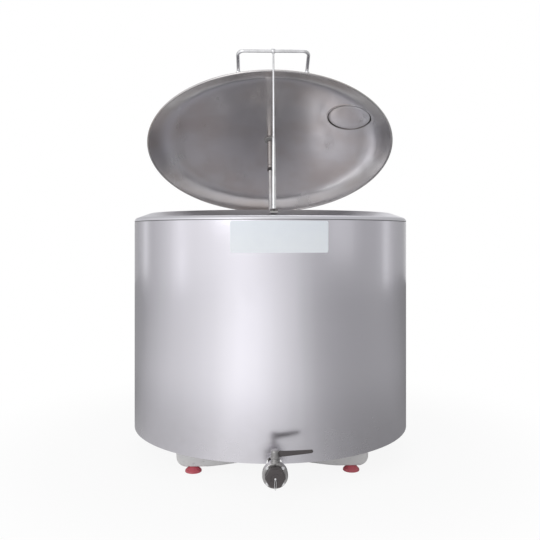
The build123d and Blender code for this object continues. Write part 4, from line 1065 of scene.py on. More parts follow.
class TANK_OT_hatch(TankOperator, bpy.types.Operator):
    """Make the milk inlet in the lid: its collar, cover and knob"""

    bl_idname = "tank.hatch"
    bl_label = "Milk inlet"

    sheet = 0.0015
    drop = 0.003
    fade = 0.016
    foot_flare = 0.0024
    plug_gap = 0.0015
    plug_bend = 0.020
    cover_dimple = 0.0008
    rim_band = 0.018
    rim_slope = 0.006

    def level(self, sizes):
        """The dish's height at the inlet's middle."""
        return dish_height(sizes, np.hypot(*hatch_middle[:2]))

    def fitted(self, sizes, shape):
        """The foot laid along the dish: z + share (dish - level), the share 1 at the foot and 0 above."""
        points, faces = shape
        level = self.level(sizes)
        away = np.hypot(points[:, 0] + hatch_middle[0], points[:, 1] + hatch_middle[1])
        share = np.clip((level + self.fade - points[:, 2]) / self.fade, 0, 1)
        moved = points.copy()
        moved[:, 2] += share * (dish_height(sizes, away) - level)
        return moved, faces

    def collar(self, sizes):
        """A short tube with a flared foot."""
        low, high = span("hatch_collar", hatch_place)
        foot = max(low[2], self.level(sizes) - self.drop)
        corners = [
            (high[0] - self.sheet, foot),
            (high[0] + self.foot_flare, foot),
            (high[0], foot + self.foot_flare * 2),
            (high[0], high[2]),
            (high[0] - self.sheet, high[2]),
        ]
        return self.fitted(sizes, turned(loop(corners, 0.0005, 4), 128, closed=True))

    def cover(self, sizes):
        """A plug that reaches down to the dish, and a cap that laps over the collar."""
        low, high = span("hatch_cover", hatch_place)
        rim, top = high[0], high[2]
        plug = span("hatch_collar", hatch_place)[1][0] - self.sheet - self.plug_gap
        bottom = self.level(sizes) - self.sheet
        lap = rim - self.sheet
        under = top - self.sheet
        profile = rounded(
            [
                (plug - self.plug_bend, bottom),
                (plug, bottom),
                (plug, under),
                (lap, under),
                (lap, low[2]),
                (rim, low[2]),
                (rim, top),
                (rim - self.rim_band, top),
                (rim - self.rim_band - self.rim_slope, top - self.cover_dimple),
                (0, top - self.cover_dimple),
            ],
            [0.006, 0.0008, 0.0008, 0.0005, 0.0005, 0.002, 0.006, 0.006],
            5,
        )
        disc = [(radius, bottom) for radius in np.linspace(0, plug - self.plug_bend, 9)[:-1]]
        return self.fitted(sizes, turned(np.concatenate([disc, profile]), 128))

    def knob(self):
        """A waisted knob that widens to its full radius above its middle."""
        low, high = span("hatch_knob", hatch_place)
        wide, tall = high[0], high[2] - low[2]
        foot, waist = 0.011, 0.007
        corners = [(0, 0), (foot, 0), (waist, 0.004), (waist, tall * 0.4)]
        corners += [(wide, tall * 0.6), (wide * 0.8, tall), (0, tall)]
        knob = turned(rounded(corners, [0.001, 0.002, 0.004, 0.005, 0.004], 6), 48)
        return placed(knob, shifted(hatch_place, z=low[2]))

    def build(self, sizes, colours, stage):
        piece("inlet_collar", placed(self.collar(sizes), hatch_place), "hatch_collar")
        piece("inlet_cover", placed(self.cover(sizes), hatch_place), "hatch_cover")
        piece("inlet_knob", self.knob(), "hatch_knob")


class TANK_OT_stirrer(TankOperator, bpy.types.Operator):
    """Make the stirrer's shaft, sleeve, collar and paddle"""

    bl_idname = "tank.stirrer"
    bl_label = "Stirrer"

    hub_radius = 0.016
    hub_bore = 0.0085
    hub_half = 0.040
    blade_sheet = 0.003
    blade_width = 0.040
    blade_start = 0.014
    widest_at = 0.10
    blade_reach = 0.16
    root_pitch = 46
    pitch_fall = 12
    groove_depth = 0.0012
    screw_radius = 0.0028

    def blade(self, level, end):
        """Sections along the reach: a thin strip turned by the pitch, its width a fourth-power curve."""
        reach = np.linspace(self.blade_start, end, 24)[:, None]
        away = (reach - self.widest_at) / self.blade_reach
        width = self.blade_width * np.sqrt(np.clip(1 - away**4, 0.2, 1))
        pitch = np.radians(self.root_pitch - self.pitch_fall * reach / end)
        section = box_outline(2.0, self.blade_sheet, self.blade_sheet * 0.45, 3)
        across = section[None, :, 0] * width
        thick = section[None, :, 1]
        y = across * np.cos(pitch) - thick * np.sin(pitch)
        z = across * np.sin(pitch) + thick * np.cos(pitch)
        return as_shape(capped(np.stack([np.broadcast_to(reach, y.shape), y, z + level], axis=-1)))

    def paddle(self):
        """A hub and two pitched blades; a blade's pitch eases from the hub to its tip."""
        high = span("stirrer_paddle", lid_place)[1]
        level = middle("stirrer_paddle", lid_place)[2]
        foot, top = level - self.hub_half, level + self.hub_half
        profile = disc_profile(self.hub_radius, foot, top, 0.002, self.hub_bore)
        blade = self.blade(level, high[0] - 0.001)
        sides = [place_at((0, 0, 0), (0, 0, 1), (side, 0, 0)) for side in (1, -1)]
        return joined(turned(profile, 48, closed=True), repeated(blade, sides))

    def sleeve(self, bore):
        """A tube with one shallow groove near its foot."""
        low, high = span("drive_sleeve", lid_place)
        profile = disc_profile(high[0], low[2], high[2], 0.001, bore)
        inner = high[0] - self.groove_depth
        steps = ((high[0], 0.012), (inner, 0.013), (inner, 0.015), (high[0], 0.016))
        groove = [(radius, low[2] + height) for radius, height in steps]
        return turned(profile[:3] + groove + profile[3:], 48, closed=True)

    def collar(self, bore):
        """A clamp ring with one screw in front."""
        low, high = span("clamp_collar", lid_place)
        ring = turned(disc_profile(high[0], low[2], high[2], 0.0012, bore), 48, closed=True)
        screw_place = place_at((0, -high[0] + 0.0008, (low[2] + high[2]) / 2), (0, -1, 0))
        return joined(ring, placed(hex_head(self.screw_radius, 0.0016), screw_place))

    def build(self, sizes, colours, stage):
        low, high = span("stirrer_shaft", lid_place)
        bore = high[0]
        shaft = turned(disc_profile(high[0], low[2], high[2], 0.0015), 48)
        piece("shaft", placed(shaft, lid_place), "stirrer_shaft")
        piece("sleeve", placed(self.sleeve(bore), lid_place), "drive_sleeve", finish="lid_steel")
        piece("collar", placed(self.collar(bore), lid_place), "clamp_collar", finish="dark_plastic")
        piece("paddle", placed(self.paddle(), lid_place), "stirrer_paddle")


class TANK_OT_drive(TankOperator, bpy.types.Operator):
    """Make the stirrer's drive on the lid"""

    bl_idname = "tank.drive"
    bl_label = "Stirrer drive"

    plate_corner = 0.012
    stud_radius = 0.004
    lugs = 6
    lug_size = 0.014
    fins = 32
    fin_depth = 0.0045
    end_depth = 0.002
    slots = 24
    slot_depth = 0.003
    slot_rows = 16
    screw_radius = 0.003
    gland_radius = 0.008

    def motor(self):
        """The radius swings between core and fin tip by a steep wave of the turn; the ends are plain."""
        low, high = span("stirrer_motor", lid_place)
        turn = circle(self.fins * 12)
        wave = 0.5 + 0.5 * np.tanh(3.5 * np.cos(self.fins * turn) + 0.8)
        finned = np.array([0, 0, 0, 1, 1, 0, 0, 0.0])[:, None]
        solid = np.array([0, 1, 1, 1, 1, 1, 1, 0.0])[:, None]
        from_end = np.array([0, 0, 0.010, 0.013])
        height = np.concatenate([low[2] + from_end, high[2] - from_end[::-1]])[:, None]
        radius = solid * (high[0] - self.fin_depth * (1 - wave) * finned - self.end_depth * (1 - finned))
        return as_shape(around(radius, turn, height))

    def cowl(self):
        """A drawn cowl whose flat end is pierced by a ring of grooves, sunk by a steep wave of the turn."""
        low, high = span("motor_cowl", lid_place)
        wide, top = high[0], high[2]
        profile = rounded([(0, low[2]), (wide, low[2]), (wide, top), (0, top)], [0.001, 0.010], 8)
        radius = np.concatenate([profile[:-1, 0], np.linspace(wide * 0.76, 0, self.slot_rows)])[:, None]
        height = np.concatenate([profile[:-1, 1], np.full(self.slot_rows, top)])[:, None]
        turn = circle(self.slots * 10)
        steep = 0.5 + 0.5 * np.tanh(6 * (np.cos(self.slots * turn) - 0.2))
        slotted = (radius < wide * 0.72) & (radius > wide * 0.30) & (height > top - 0.001)
        return as_shape(around(radius, turn, height - self.slot_depth * slotted * steep))

    def bolts(self, low, high):
        """A bolt head over each corner of the plate, each turned its own way, and its stud below."""
        side = high[0] - self.plate_corner
        corners = [(x, y) for x in (-side, side) for y in (-side, side)]
        turns = [(math.cos(x * 90), math.sin(y * 70), 0) for x, y in corners]
        heads = [place_at((x, y, high[2]), (0, 0, 1), turn) for (x, y), turn in zip(corners, turns)]
        studs = [place_at((x, y, low[2] - 0.001), (0, 0, 1)) for x, y in corners]
        stud = turned(disc_profile(self.stud_radius, 0, 0.006, 0.0004), 16)
        return joined(repeated(hex_head(0.0074, 0.005), heads), repeated(stud, studs))

    def gearbox(self):
        """A stepped round case with lugs round it, and a bolt on every lug."""
        low, high = span("gearbox", lid_place)
        wide, foot, top = high[0], low[2], high[2]
        body = rounded(
            [
                (0, foot),
                (wide, foot),
                (wide, foot + 0.008),
                (wide - 0.008, foot + 0.010),
                (wide - 0.008, top - 0.014),
                (wide - 0.010, top - 0.010),
                (wide - 0.010, top),
                (0, top),
            ],
            [0.001, 0.002, 0.004, 0.003, 0.003, 0.004],
            5,
        )
        lug_top = top - 0.012
        lug = slab(box_outline(self.lug_size, self.lug_size, 0.004), foot + 0.006, lug_top, 0.002)
        lugs = repeated(lug, round_places(np.eye(4), wide - 0.009, self.lugs))
        spots = round_places(np.eye(4), wide - 0.007, self.lugs, height=lug_top)
        heads = repeated(hex_head(0.004, 0.003), spots)
        return joined(turned(body, 96), lugs, heads)

    def cable_box(self):
        """A case and its cover on a slightly smaller neck, four screws and a cable gland."""
        low, high = span("terminal_box", lid_place)
        width, depth, tall = high - low
        case = slab(box_outline(width, tall, 0.006), 0, depth * 0.7, 0.001)
        cover = slab(box_outline(width, tall, 0.007), depth * 0.72, depth, 0.003)
        neck = slab(box_outline(width * 0.96, tall * 0.96, 0.006), depth * 0.6, depth * 0.8, 0.001)
        corners = [(x * width * 0.38, y * tall * 0.38) for x in (-1, 1) for y in (-1, 1)]
        spots = [place_at((x, y, depth - 0.0012), (0, 0, 1)) for x, y in corners]
        screws = repeated(turned(disc_profile(self.screw_radius, 0, 0.0012, 0.0004), 20), spots)
        gland_place = place_at((-width / 2, 0, depth / 2), (-1, 0, 0), (0, 1, 0))
        gland = placed(turned(disc_profile(self.gland_radius, -0.004, 0.014, 0.001), 6), gland_place)
        box_place = place_at((0, low[1], (low[2] + high[2]) / 2), (0, 1, 0))
        return placed(joined(case, cover, neck, screws, gland), box_place)

    def build(self, sizes, colours, stage):
        low, high = span("drive_plate", lid_place)
        plate = slab(box_outline(2 * high[0], 2 * high[1], self.plate_corner), low[2], high[2], 0.0008)
        piece("base_plate", placed(plate, lid_place), "drive_plate")
        piece("plate_bolts", placed(self.bolts(low, high), lid_place), "drive_bolts")
        piece("gear_case", placed(self.gearbox(), lid_place), "gearbox")
        piece("motor_body", placed(self.motor(), lid_place), "stirrer_motor", sharp=math.radians(50))
        piece("motor_cap", placed(self.cowl(), lid_place), "motor_cowl")
        piece("cable_box", placed(self.cable_box(), lid_place), "terminal_box")


class TANK_OT_prop(TankOperator, bpy.types.Operator):
    """Make the rod that props the lid"""

    bl_idname = "tank.prop"
    bl_label = "Prop rod"

    rod = 0.004
    tube_foot = 0.060
    eye_bore = 0.00625
    eye_radius = 0.0095

    def tip(self):
        """A plain foot with a rounded lower edge."""
        low, high = span("prop_tip", rod_place)
        corners = [(0, low[2]), (high[0], low[2]), (high[0], high[2]), (0, high[2])]
        return turned(rounded(corners, [0.0025, 0.001], 5), 32)

    def tube(self, low, high):
        """The thicker tube, which narrows from its foot to the rod that slides in it."""
        profile = [
            (self.rod, low[2]),
            (high[0], low[2]),
            (high[0], low[2] + self.tube_foot),
            (high[0] * 0.8, high[2] - 0.030),
            (high[0] * 0.75, high[2] - 0.006),
            (self.rod + 0.0004, high[2]),
            (self.rod, high[2]),
        ]
        return turned(profile, 40, closed=True)

    def bar(self, tube_top):
        """The thin rod from inside the tube to the eye, a little thinner where it meets the eye."""
        reach = float(np.linalg.norm(eye_point - tip_point)) - self.eye_radius + 0.0005
        path = [(0, 0, tube_top - 0.04), (0, 0, tube_top + 0.01), (0, 0, reach)]
        return swept(path, (self.rod, self.rod, self.rod * 0.8), 28)

    def eye(self, eye_place):
        """A round eye that turns on the handle's bar."""
        half = span("prop_rod", eye_place)[1][2]
        bore, outer = self.eye_bore, self.eye_radius
        corners = [(bore, -half), (outer, -half), (outer, half), (bore, half)]
        return turned(loop(corners, [0.001, 0.003, 0.003, 0.001], 4), 40, closed=True)

    def build(self, sizes, colours, stage):
        low, high = span("prop_tube", rod_place)
        eye_place = place_at(eye_point, (1, 0, 0), (0, 0, 1))
        piece("rod_foot", placed(self.tip(), rod_place), "prop_tip", finish="bright_steel")
        piece("rod_tube", placed(self.tube(low, high), rod_place), "prop_tube")
        bar = placed(self.bar(high[2]), rod_place)
        piece("rod_bar", joined(bar, placed(self.eye(eye_place), eye_place)), "prop_rod")


class TANK_OT_feet(TankOperator, bpy.types.Operator):
    """Make the painted beams and the rubber feet"""

    bl_idname = "tank.feet"
    bl_label = "Beams and feet"

    arch_half = 0.235
    arch_rise = 0.022
    arch_steps = 33
    lower_corner = 0.036
    upper_corner = 0.003
    wall = 0.004
    fold = 0.005
    foot_radius = 0.030

    def beam_outline(self, wide, tall):
        """A rectangle with round lower corners whose lower edge rises by a cosine arch in its middle."""
        share = np.linspace(-1, 1, self.arch_steps)
        rise = self.arch_rise * np.cos(share * math.pi / 2) ** 1.4
        arch = np.column_stack([share * self.arch_half, rise - tall / 2])
        x, y = wide / 2, tall / 2
        radii = [self.lower_corner, self.upper_corner, self.upper_corner, self.lower_corner]
        outline = loop([(x, -y), (x, y), (-x, y), (-x, -y)], radii, 10)
        start = np.argmin(np.abs(outline[:, 0]) + (outline[:, 1] > 0))
        return np.concatenate([outline[start + 1:], outline[:start], arch[np.abs(arch[:, 0]) < x]])

    def foot(self, tall):
        """A round foot that narrows from its tread to the bolt."""
        wide = self.foot_radius
        corners = [(0, 0), (wide, 0), (wide, tall * 0.28), (0.0185, tall * 0.80), (0.0130, tall), (0, tall)]
        return turned(rounded(corners, [0.002, 0.008, 0.006, 0.0015], 6), 64)

    def build(self, sizes, colours, stage):
        front, front_end = span("front_beam")
        rear, rear_end = span("rear_beams")
        wide, depth, tall = front_end - front
        form = channel(self.beam_outline(wide, tall), depth, self.wall, self.fold)
        level = (front[2] + front_end[2]) / 2
        piece("front_channel", placed(form, place_at((0, front_end[1], level), (0, -1, 0))), "front_beam")
        mid = placed(form, place_at((0, rear[1] + depth, level), (0, -1, 0)))
        back = placed(form, place_at((0, rear_end[1] - depth, level), (0, 1, 0), (-1, 0, 0)))
        piece("rear_channels", joined(mid, back), "rear_beams")
        feet_end = span("rubber_feet")[1]
        rail = feet_end[0] - self.foot_radius
        rows = (front[1] + depth / 2, rear[1] + depth / 2, rear_end[1] - depth / 2)
        spots = [place_at((x, y, 0), (0, 0, 1)) for x in (-rail, rail) for y in rows]
        piece("feet", repeated(self.foot(feet_end[2]), spots), "rubber_feet")


class TANK_OT_valve(TankOperator, bpy.types.Operator):
    """Make the outlet valve, its lever and its cap"""

    bl_idname = "tank.valve"
    bl_label = "Outlet valve"

    bore = 0.019
    joint_gap = 0.0004
    flange_half = 0.012
    flange_slope = 0.014
    neck_radius = 0.027
    neck_end = -0.032
    thread_radius = 0.025
    thread_end = 0.038
    thread_depth = 0.0016
    pitch = 0.004
    stem_radius = 0.0145
    stem_ring = 0.012
    bolts = 4
    bolt_circle = 0.035
    bolt_head = 0.0052
    hub_radius = 0.015
    hub_waist = 0.0135
    hub_height = 0.026
    arm_start = 0.006
    arm_steps = 30
    root_height = 0.020
    tip_height = 0.0105
    tip_round = 0.045
    cap_bore = 0.0253
    cap_recess = 0.0012
    cap_wall = 0.0032
    ring_room = 0.0025
    wire = 0.0008

    def thread(self, start, end):
        """A round thread: r = R - depth (1 - cos(turn - 2 pi z / pitch)) / 2, faded at both ends."""
        level = np.linspace(start, end, int((end - start) / self.pitch * 10))[:, None]
        turn = circle(72)
        fade = np.clip(np.minimum(level - start, end - level) / self.pitch, 0, 1)
        wave = 0.5 - 0.5 * np.cos(turn - FULL_TURN * level / self.pitch)
        depth = self.thread_depth * wave * fade + self.thread_depth / 2 * (1 - fade)
        first, last = [around(self.bore, turn, level[at])[None] for at in (0, -1)]
        grid = around(self.thread_radius - depth, turn, level)
        return as_shape(np.concatenate([first, grid, last]), wrap_rows=True)

    def rear_half(self, flange):
        """The flange with its neck towards the tank."""
        profile = rounded(
            [
                (self.bore, self.neck_end),
                (self.neck_radius, self.neck_end),
                (self.neck_radius, -0.020),
                (flange - 0.004, -self.flange_slope),
                (flange, -self.flange_half),
                (flange, -self.joint_gap),
                (self.bore, -self.joint_gap),
            ],
            [0.001, 0.005, 0.003, 0.002, 0.0008],
            5,
        )
        return turned(profile, 96, closed=True)

    def front_half(self, flange):
        """The flange with the thread that takes the cap."""
        shoulder = self.flange_slope + 0.001
        profile = rounded(
            [
                (self.bore, self.joint_gap),
                (flange, self.joint_gap),
                (flange, self.flange_half),
                (flange - 0.003, self.flange_slope),
                (self.neck_radius, self.flange_slope),
                (self.thread_radius + 0.0005, shoulder),
                (self.bore, shoulder),
            ],
            [0.0008, 0.002, 0.002, 0.003, 0.001],
            5,
        )
        return joined(turned(profile, 96, closed=True), self.thread(self.flange_slope, self.thread_end))

    def stem_neck(self, flange):
        """The round neck over the flange that carries the lever's stem."""
        top = span("valve_body_rear", stem_place)[1][2]
        foot, step = flange - 0.012, flange + 0.002
        corners = [(0, foot), (self.stem_radius, foot), (self.stem_radius, step)]
        corners += [(self.stem_ring, step + 0.003), (self.stem_ring, top), (0, top)]
        return turned(rounded(corners, [0.001, 0.002, 0.002, 0.001], 4), 48)

    def hub(self, foot):
        """A stepped round hub with a domed top."""
        waist = foot + 0.008
        top = foot + self.hub_height
        wide, narrow = self.hub_radius, self.hub_waist
        corners = [(0, foot), (wide, foot), (wide, foot + 0.006), (narrow, waist)]
        corners += [(narrow, waist + 0.0135), (0.011, top), (0, top)]
        return turned(rounded(corners, [0.001, 0.001, 0.001, 0.001, 0.002], 4), 48)

    def arm(self, foot, end):
        """Sections along X: rounded rectangles whose height tapers from hub to tip, on a line that rises."""
        share = np.linspace(0, 1, self.arm_steps)[:, None]
        reach = self.arm_start + (end - self.arm_start) * share
        tall = self.root_height + (self.tip_height - self.root_height) * share**0.8
        near_tip = np.clip((share - 1 + self.tip_round) / self.tip_round, 0, 1)
        round_off = np.sqrt(np.clip(1 - near_tip**2, 0, 1))
        line = foot + 0.013 + 0.008 * share**1.3
        wide = 0.0085 - 0.0028 * share + 0.002 * np.exp(-(((share - 0.8) / 0.16) ** 2))
        turn = circle(28)[None]
        flat = np.sign(np.cos(turn)) * np.abs(np.cos(turn)) ** 0.55
        rise = np.sign(np.sin(turn)) * np.abs(np.sin(turn)) ** 0.55
        y = wide / 2 * flat * round_off
        z = line + tall / 2 * rise * round_off
        return as_shape(np.stack([reach + 0 * turn, y, z], axis=-1))

    def cap(self):
        """A six-sided cap: its radius is half the flats over the cosine of the turn from a flat's middle."""
        low, high = span("outlet_cap", outlet_place)
        half_flats = min(high[0], high[1])
        turn = circle(180)
        sixth = FULL_TURN / 6
        start = 0.0 if high[1] > high[0] else sixth / 2
        hexagon = half_flats / np.cos((turn + start) % sixth - sixth / 2)
        soft = np.minimum(hexagon, half_flats * 1.115)
        back, front = low[2], high[2] - self.ring_room
        recess, wall = front - self.cap_recess, front - self.cap_wall
        rows = (
            (self.cap_bore, back),
            (soft * 0.97, back),
            (soft, back + 0.001),
            (soft, front - 0.005),
            (np.minimum(soft, half_flats * 1.02) * 0.965, recess),
            (half_flats * 0.80, front),
            (half_flats * 0.52, front),
            (half_flats * 0.46, recess),
            (0.0, recess),
            (0.0, wall),
            (self.cap_bore, wall),
        )
        return as_shape(np.stack([around(size, turn, height) for size, height in rows]), wrap_rows=True)

    def hanger(self):
        """A lug on the cap's middle and an open ring of thin wire that hangs straight down from it."""
        front = span("outlet_cap", outlet_place)[1][2] - self.ring_room
        lug = turned(disc_profile(0.0032, front - 0.0014, front + 0.0021, 0.0008), 32)
        turn = np.linspace(0, FULL_TURN, 49)
        x, y = 0.0026 * np.sin(turn), 0.017 * np.cos(turn) - 0.0175
        wire = swept(np.stack([x, y, front + 0.0012 + 0 * turn], axis=1), self.wire, 10)
        return joined(lug, wire)

    def build(self, sizes, colours, stage):
        flange = span("valve_body_rear", outlet_place)[1][0]
        rear = placed(self.rear_half(flange), outlet_place)
        neck = placed(self.stem_neck(flange), stem_place)
        piece("valve_back", joined(rear, neck), "valve_body_rear")
        piece("valve_front", placed(self.front_half(flange), outlet_place), "valve_body_front")
        back_place = place_at(outlet_point + (0, self.flange_slope, 0), (0, 1, 0))
        spots = round_places(back_place, self.bolt_circle, self.bolts, math.pi / 4)
        piece("clamp_bolts", repeated(hex_head(self.bolt_head, 0.004), spots), "valve_bolts")
        spots = round_places(outlet_place, self.bolt_circle, self.bolts, math.pi / 4, self.flange_slope)
        nuts = repeated(hex_head(self.bolt_head, 0.0045), spots)
        piece("clamp_nuts", nuts, body="tank", slot="bright_steel")
        low, high = span("valve_lever", stem_place)
        piece("lever", placed(self.arm(low[2], high[0]), stem_place), "valve_lever")
        piece("lever_hub", placed(self.hub(low[2]), stem_place), body="valve_handle", slot="fitting_steel")
        piece("screw_cap", placed(self.cap(), outlet_place), "outlet_cap")
        piece("cap_ring", placed(self.hanger(), outlet_place), body="cap", slot="bright_steel")


class TANK_OT_unit(TankOperator, bpy.types.Operator):
    """Make the cooling unit behind the tank: compressor, fan, fins, receiver and drier"""

    bl_idname = "tank.unit"
    bl_label = "Cooling unit"

    can_radius = 0.085
    can_seam = 0.005
    seam_share = 0.45
    base_width = 0.190
    base_depth = 0.171
    base_sheet = 0.003
    port_side = 0.045
    port_radius = 0.008
    fan_tip = 0.1195
    fan_root = 0.022
    fan_blades = 5
    hub_radius = 0.026
    hub_half = 0.011
    root_pitch = 38
    pitch_fall = 20
    blade_sheet = 0.0016
    fin_gap = 0.0032
    fin_half = 0.00015

    def compressor_shape(self):
        """A turned can in two halves with a rolled seam, on a base plate, with a port and a relay box."""
        mount_top = span("compressor_mounts")[1][2]
        x, y, _ = middle("compressor_mounts")
        radius = self.can_radius
        rolled = radius + self.can_seam
        foot = mount_top + self.base_sheet
        top = span("compressor")[1][2]
        seam = foot + (top - foot) * self.seam_share
        can = rounded(
            [
                (0, foot),
                (radius - 0.016, foot),
                (radius, foot + 0.026),
                (radius, seam - 0.005),
                (rolled, seam - 0.004),
                (rolled, seam + 0.004),
                (radius, seam + 0.005),
                (radius, top - 0.045),
                (radius * 0.55, top - 0.010),
                (0, top),
            ],
            [0.010, 0.020, 0.002, 0.001, 0.001, 0.002, 0.030, 0.060],
            7,
        )
        base = slab(box_outline(self.base_width, self.base_depth, 0.020), mount_top, foot, 0.001)
        port = turned(disc_profile(self.port_radius, 0, 0.047, 0.001), 24)
        port_place = place_at((self.port_side, 0, top - 0.045), (0, 0, 1))
        relay = slab(box_outline(0.058, 0.070, 0.010), 0, 0.030, 0.004)
        relay_place = place_at((-radius + 0.004, 0, seam + 0.045), (-1, 0, 0), (0, 1, 0))
        unit_shape = joined(turned(can, 96), base, placed(port, port_place), placed(relay, relay_place))
        return placed(unit_shape, place_at((x, y, 0), (0, 0, 1)))

    def fan(self):
        """Each blade: reach by chord, sagged by a parabola, with a pitch that falls from hub to tip."""
        half = self.hub_half
        corners = [(0, -half), (self.hub_radius, -half), (self.hub_radius, half), (0, half)]
        hub = turned(rounded(corners, [0.001, 0.004], 4), 48)
        reach = np.linspace(self.fan_root, self.fan_tip, 16)[:, None]
        chord = np.linspace(-1, 1, 12)[None]
        share = (reach - self.fan_root) / (self.fan_tip - self.fan_root)
        pitch = np.radians(self.root_pitch - self.pitch_fall * share)
        across = (0.020 + 0.016 * share) * chord
        height = across * np.sin(pitch) * 0.62 + 0.004 * (1 - chord**2)
        grid = around(reach, across * np.cos(pitch) / reach, height)
        both = np.concatenate([grid, grid[:, ::-1] - (0, 0, self.blade_sheet)], axis=1)
        blades = repeated(as_shape(capped(both)[::-1]), round_places(np.eye(4), 0.0, self.fan_blades))
        return placed(joined(hub, blades), fan_place)

    def fins(self):
        """Thin fins, one every few millimetres, each a flat plate between the condenser's end sheets."""
        low, high = span("condenser_fins")
        _, y, z = (low + high) / 2
        _, depth, tall = high - low
        count = int((high[0] - low[0]) / self.fin_gap)
        fin = slab(box_outline(depth, tall, 0.0005, 1), -self.fin_half, self.fin_half, 0.0001)
        spots = [place_at((x, y, z), (1, 0, 0), (0, 1, 0)) for x in np.linspace(low[0], high[0], count)]
        return repeated(fin, spots)

    def receiver(self):
        """A standing can with a flanged foot and a domed top."""
        low, high = span("liquid_receiver")
        x, y, _ = (low + high) / 2
        radius = (high[0] - low[0]) / 2
        can = rounded(
            [
                (0, low[2]),
                (radius - 0.004, low[2]),
                (radius - 0.004, low[2] + 0.010),
                (radius, low[2] + 0.014),
                (radius, high[2] - 0.030),
                (radius * 0.5, high[2] - 0.001),
                (0, high[2]),
            ],
            [0.001, 0.002, 0.004, 0.022, 0.02],
            6,
        )
        return placed(turned(can, 64), place_at((x, y, 0), (0, 0, 1)))

    def drier(self):
        """A can that narrows at both ends to the pipe."""
        low, high = span("filter_drier")
        radius, half, _ = (high - low) / 2
        corners = [(0, half), (0.007, half), (0.008, half - 0.006), (radius, half - 0.018)]
        mirrored = [(size, -level) for size, level in corners]
        can = rounded(mirrored + corners[::-1], [0.001, 0.003, 0.006, 0.006, 0.003, 0.001], 6)
        return placed(turned(can, 48), place_at((low + high) / 2, (0, 1, 0)))

    def build(self, sizes, colours, stage):
        piece("compressor_can", self.compressor_shape(), "compressor", sharp=math.radians(40))
        piece("fan_wheel", self.fan(), "fan_blades", sharp=math.radians(50))
        piece("fin_pack", self.fins(), "condenser_fins")
        piece("receiver_can", self.receiver(), "liquid_receiver")
        piece("drier_can", self.drier(), "filter_drier")


# How bright the studio is by direction, in degrees from the front: its walls and its floor


WALL_RING = (
    (-180, 0.80), (-168, 0.70), (-152, 0.44), (-131, 0.44), (-125, 1.25), (-119, 0.46), (-106, 0.56),
    (-92, 0.72), (-84, 0.80), (-77, 1.30), (-70, 0.86), (-62, 0.90), (-42, 1.00), (-24, 1.12), (-9, 1.00),
    (17, 0.72), (34, 0.54), (52, 0.48), (72, 0.44), (94, 0.45), (101, 0.50), (107, 1.05), (113, 0.48),
    (134, 0.42), (147, 0.46), (157, 0.95), (166, 0.70), (180, 0.80),
)
FLOOR_RING = (
    (-180, 0.60), (-168, 0.50), (-152, 0.28), (-124, 0.33), (-108, 0.50), (-95, 0.60), (-82, 0.74),
    (-62, 0.84), (-42, 1.00), (-24, 1.32), (-9, 1.20), (17, 0.74), (34, 0.44), (52, 0.35), (72, 0.34),
    (94, 0.36), (114, 0.30), (133, 0.20), (160, 0.20), (170, 0.45), (180, 0.60),
)


def studio_level(graph, x, y, ring_levels):
    """How bright the studio is in a direction from the tank; the ramp holds half of each level."""
    side = graph.math("ARCTAN2", x, 0 - y) / FULL_TURN + 0.5
    stops = [(0.5 + degrees / 360, level / 2) for degrees, level in ring_levels]
    ring = graph.node("ShaderNodeValToRGB", {"stops": stops}, {0: side})
    return graph.node("ShaderNodeRGBToBW", None, {0: ring}) * 2


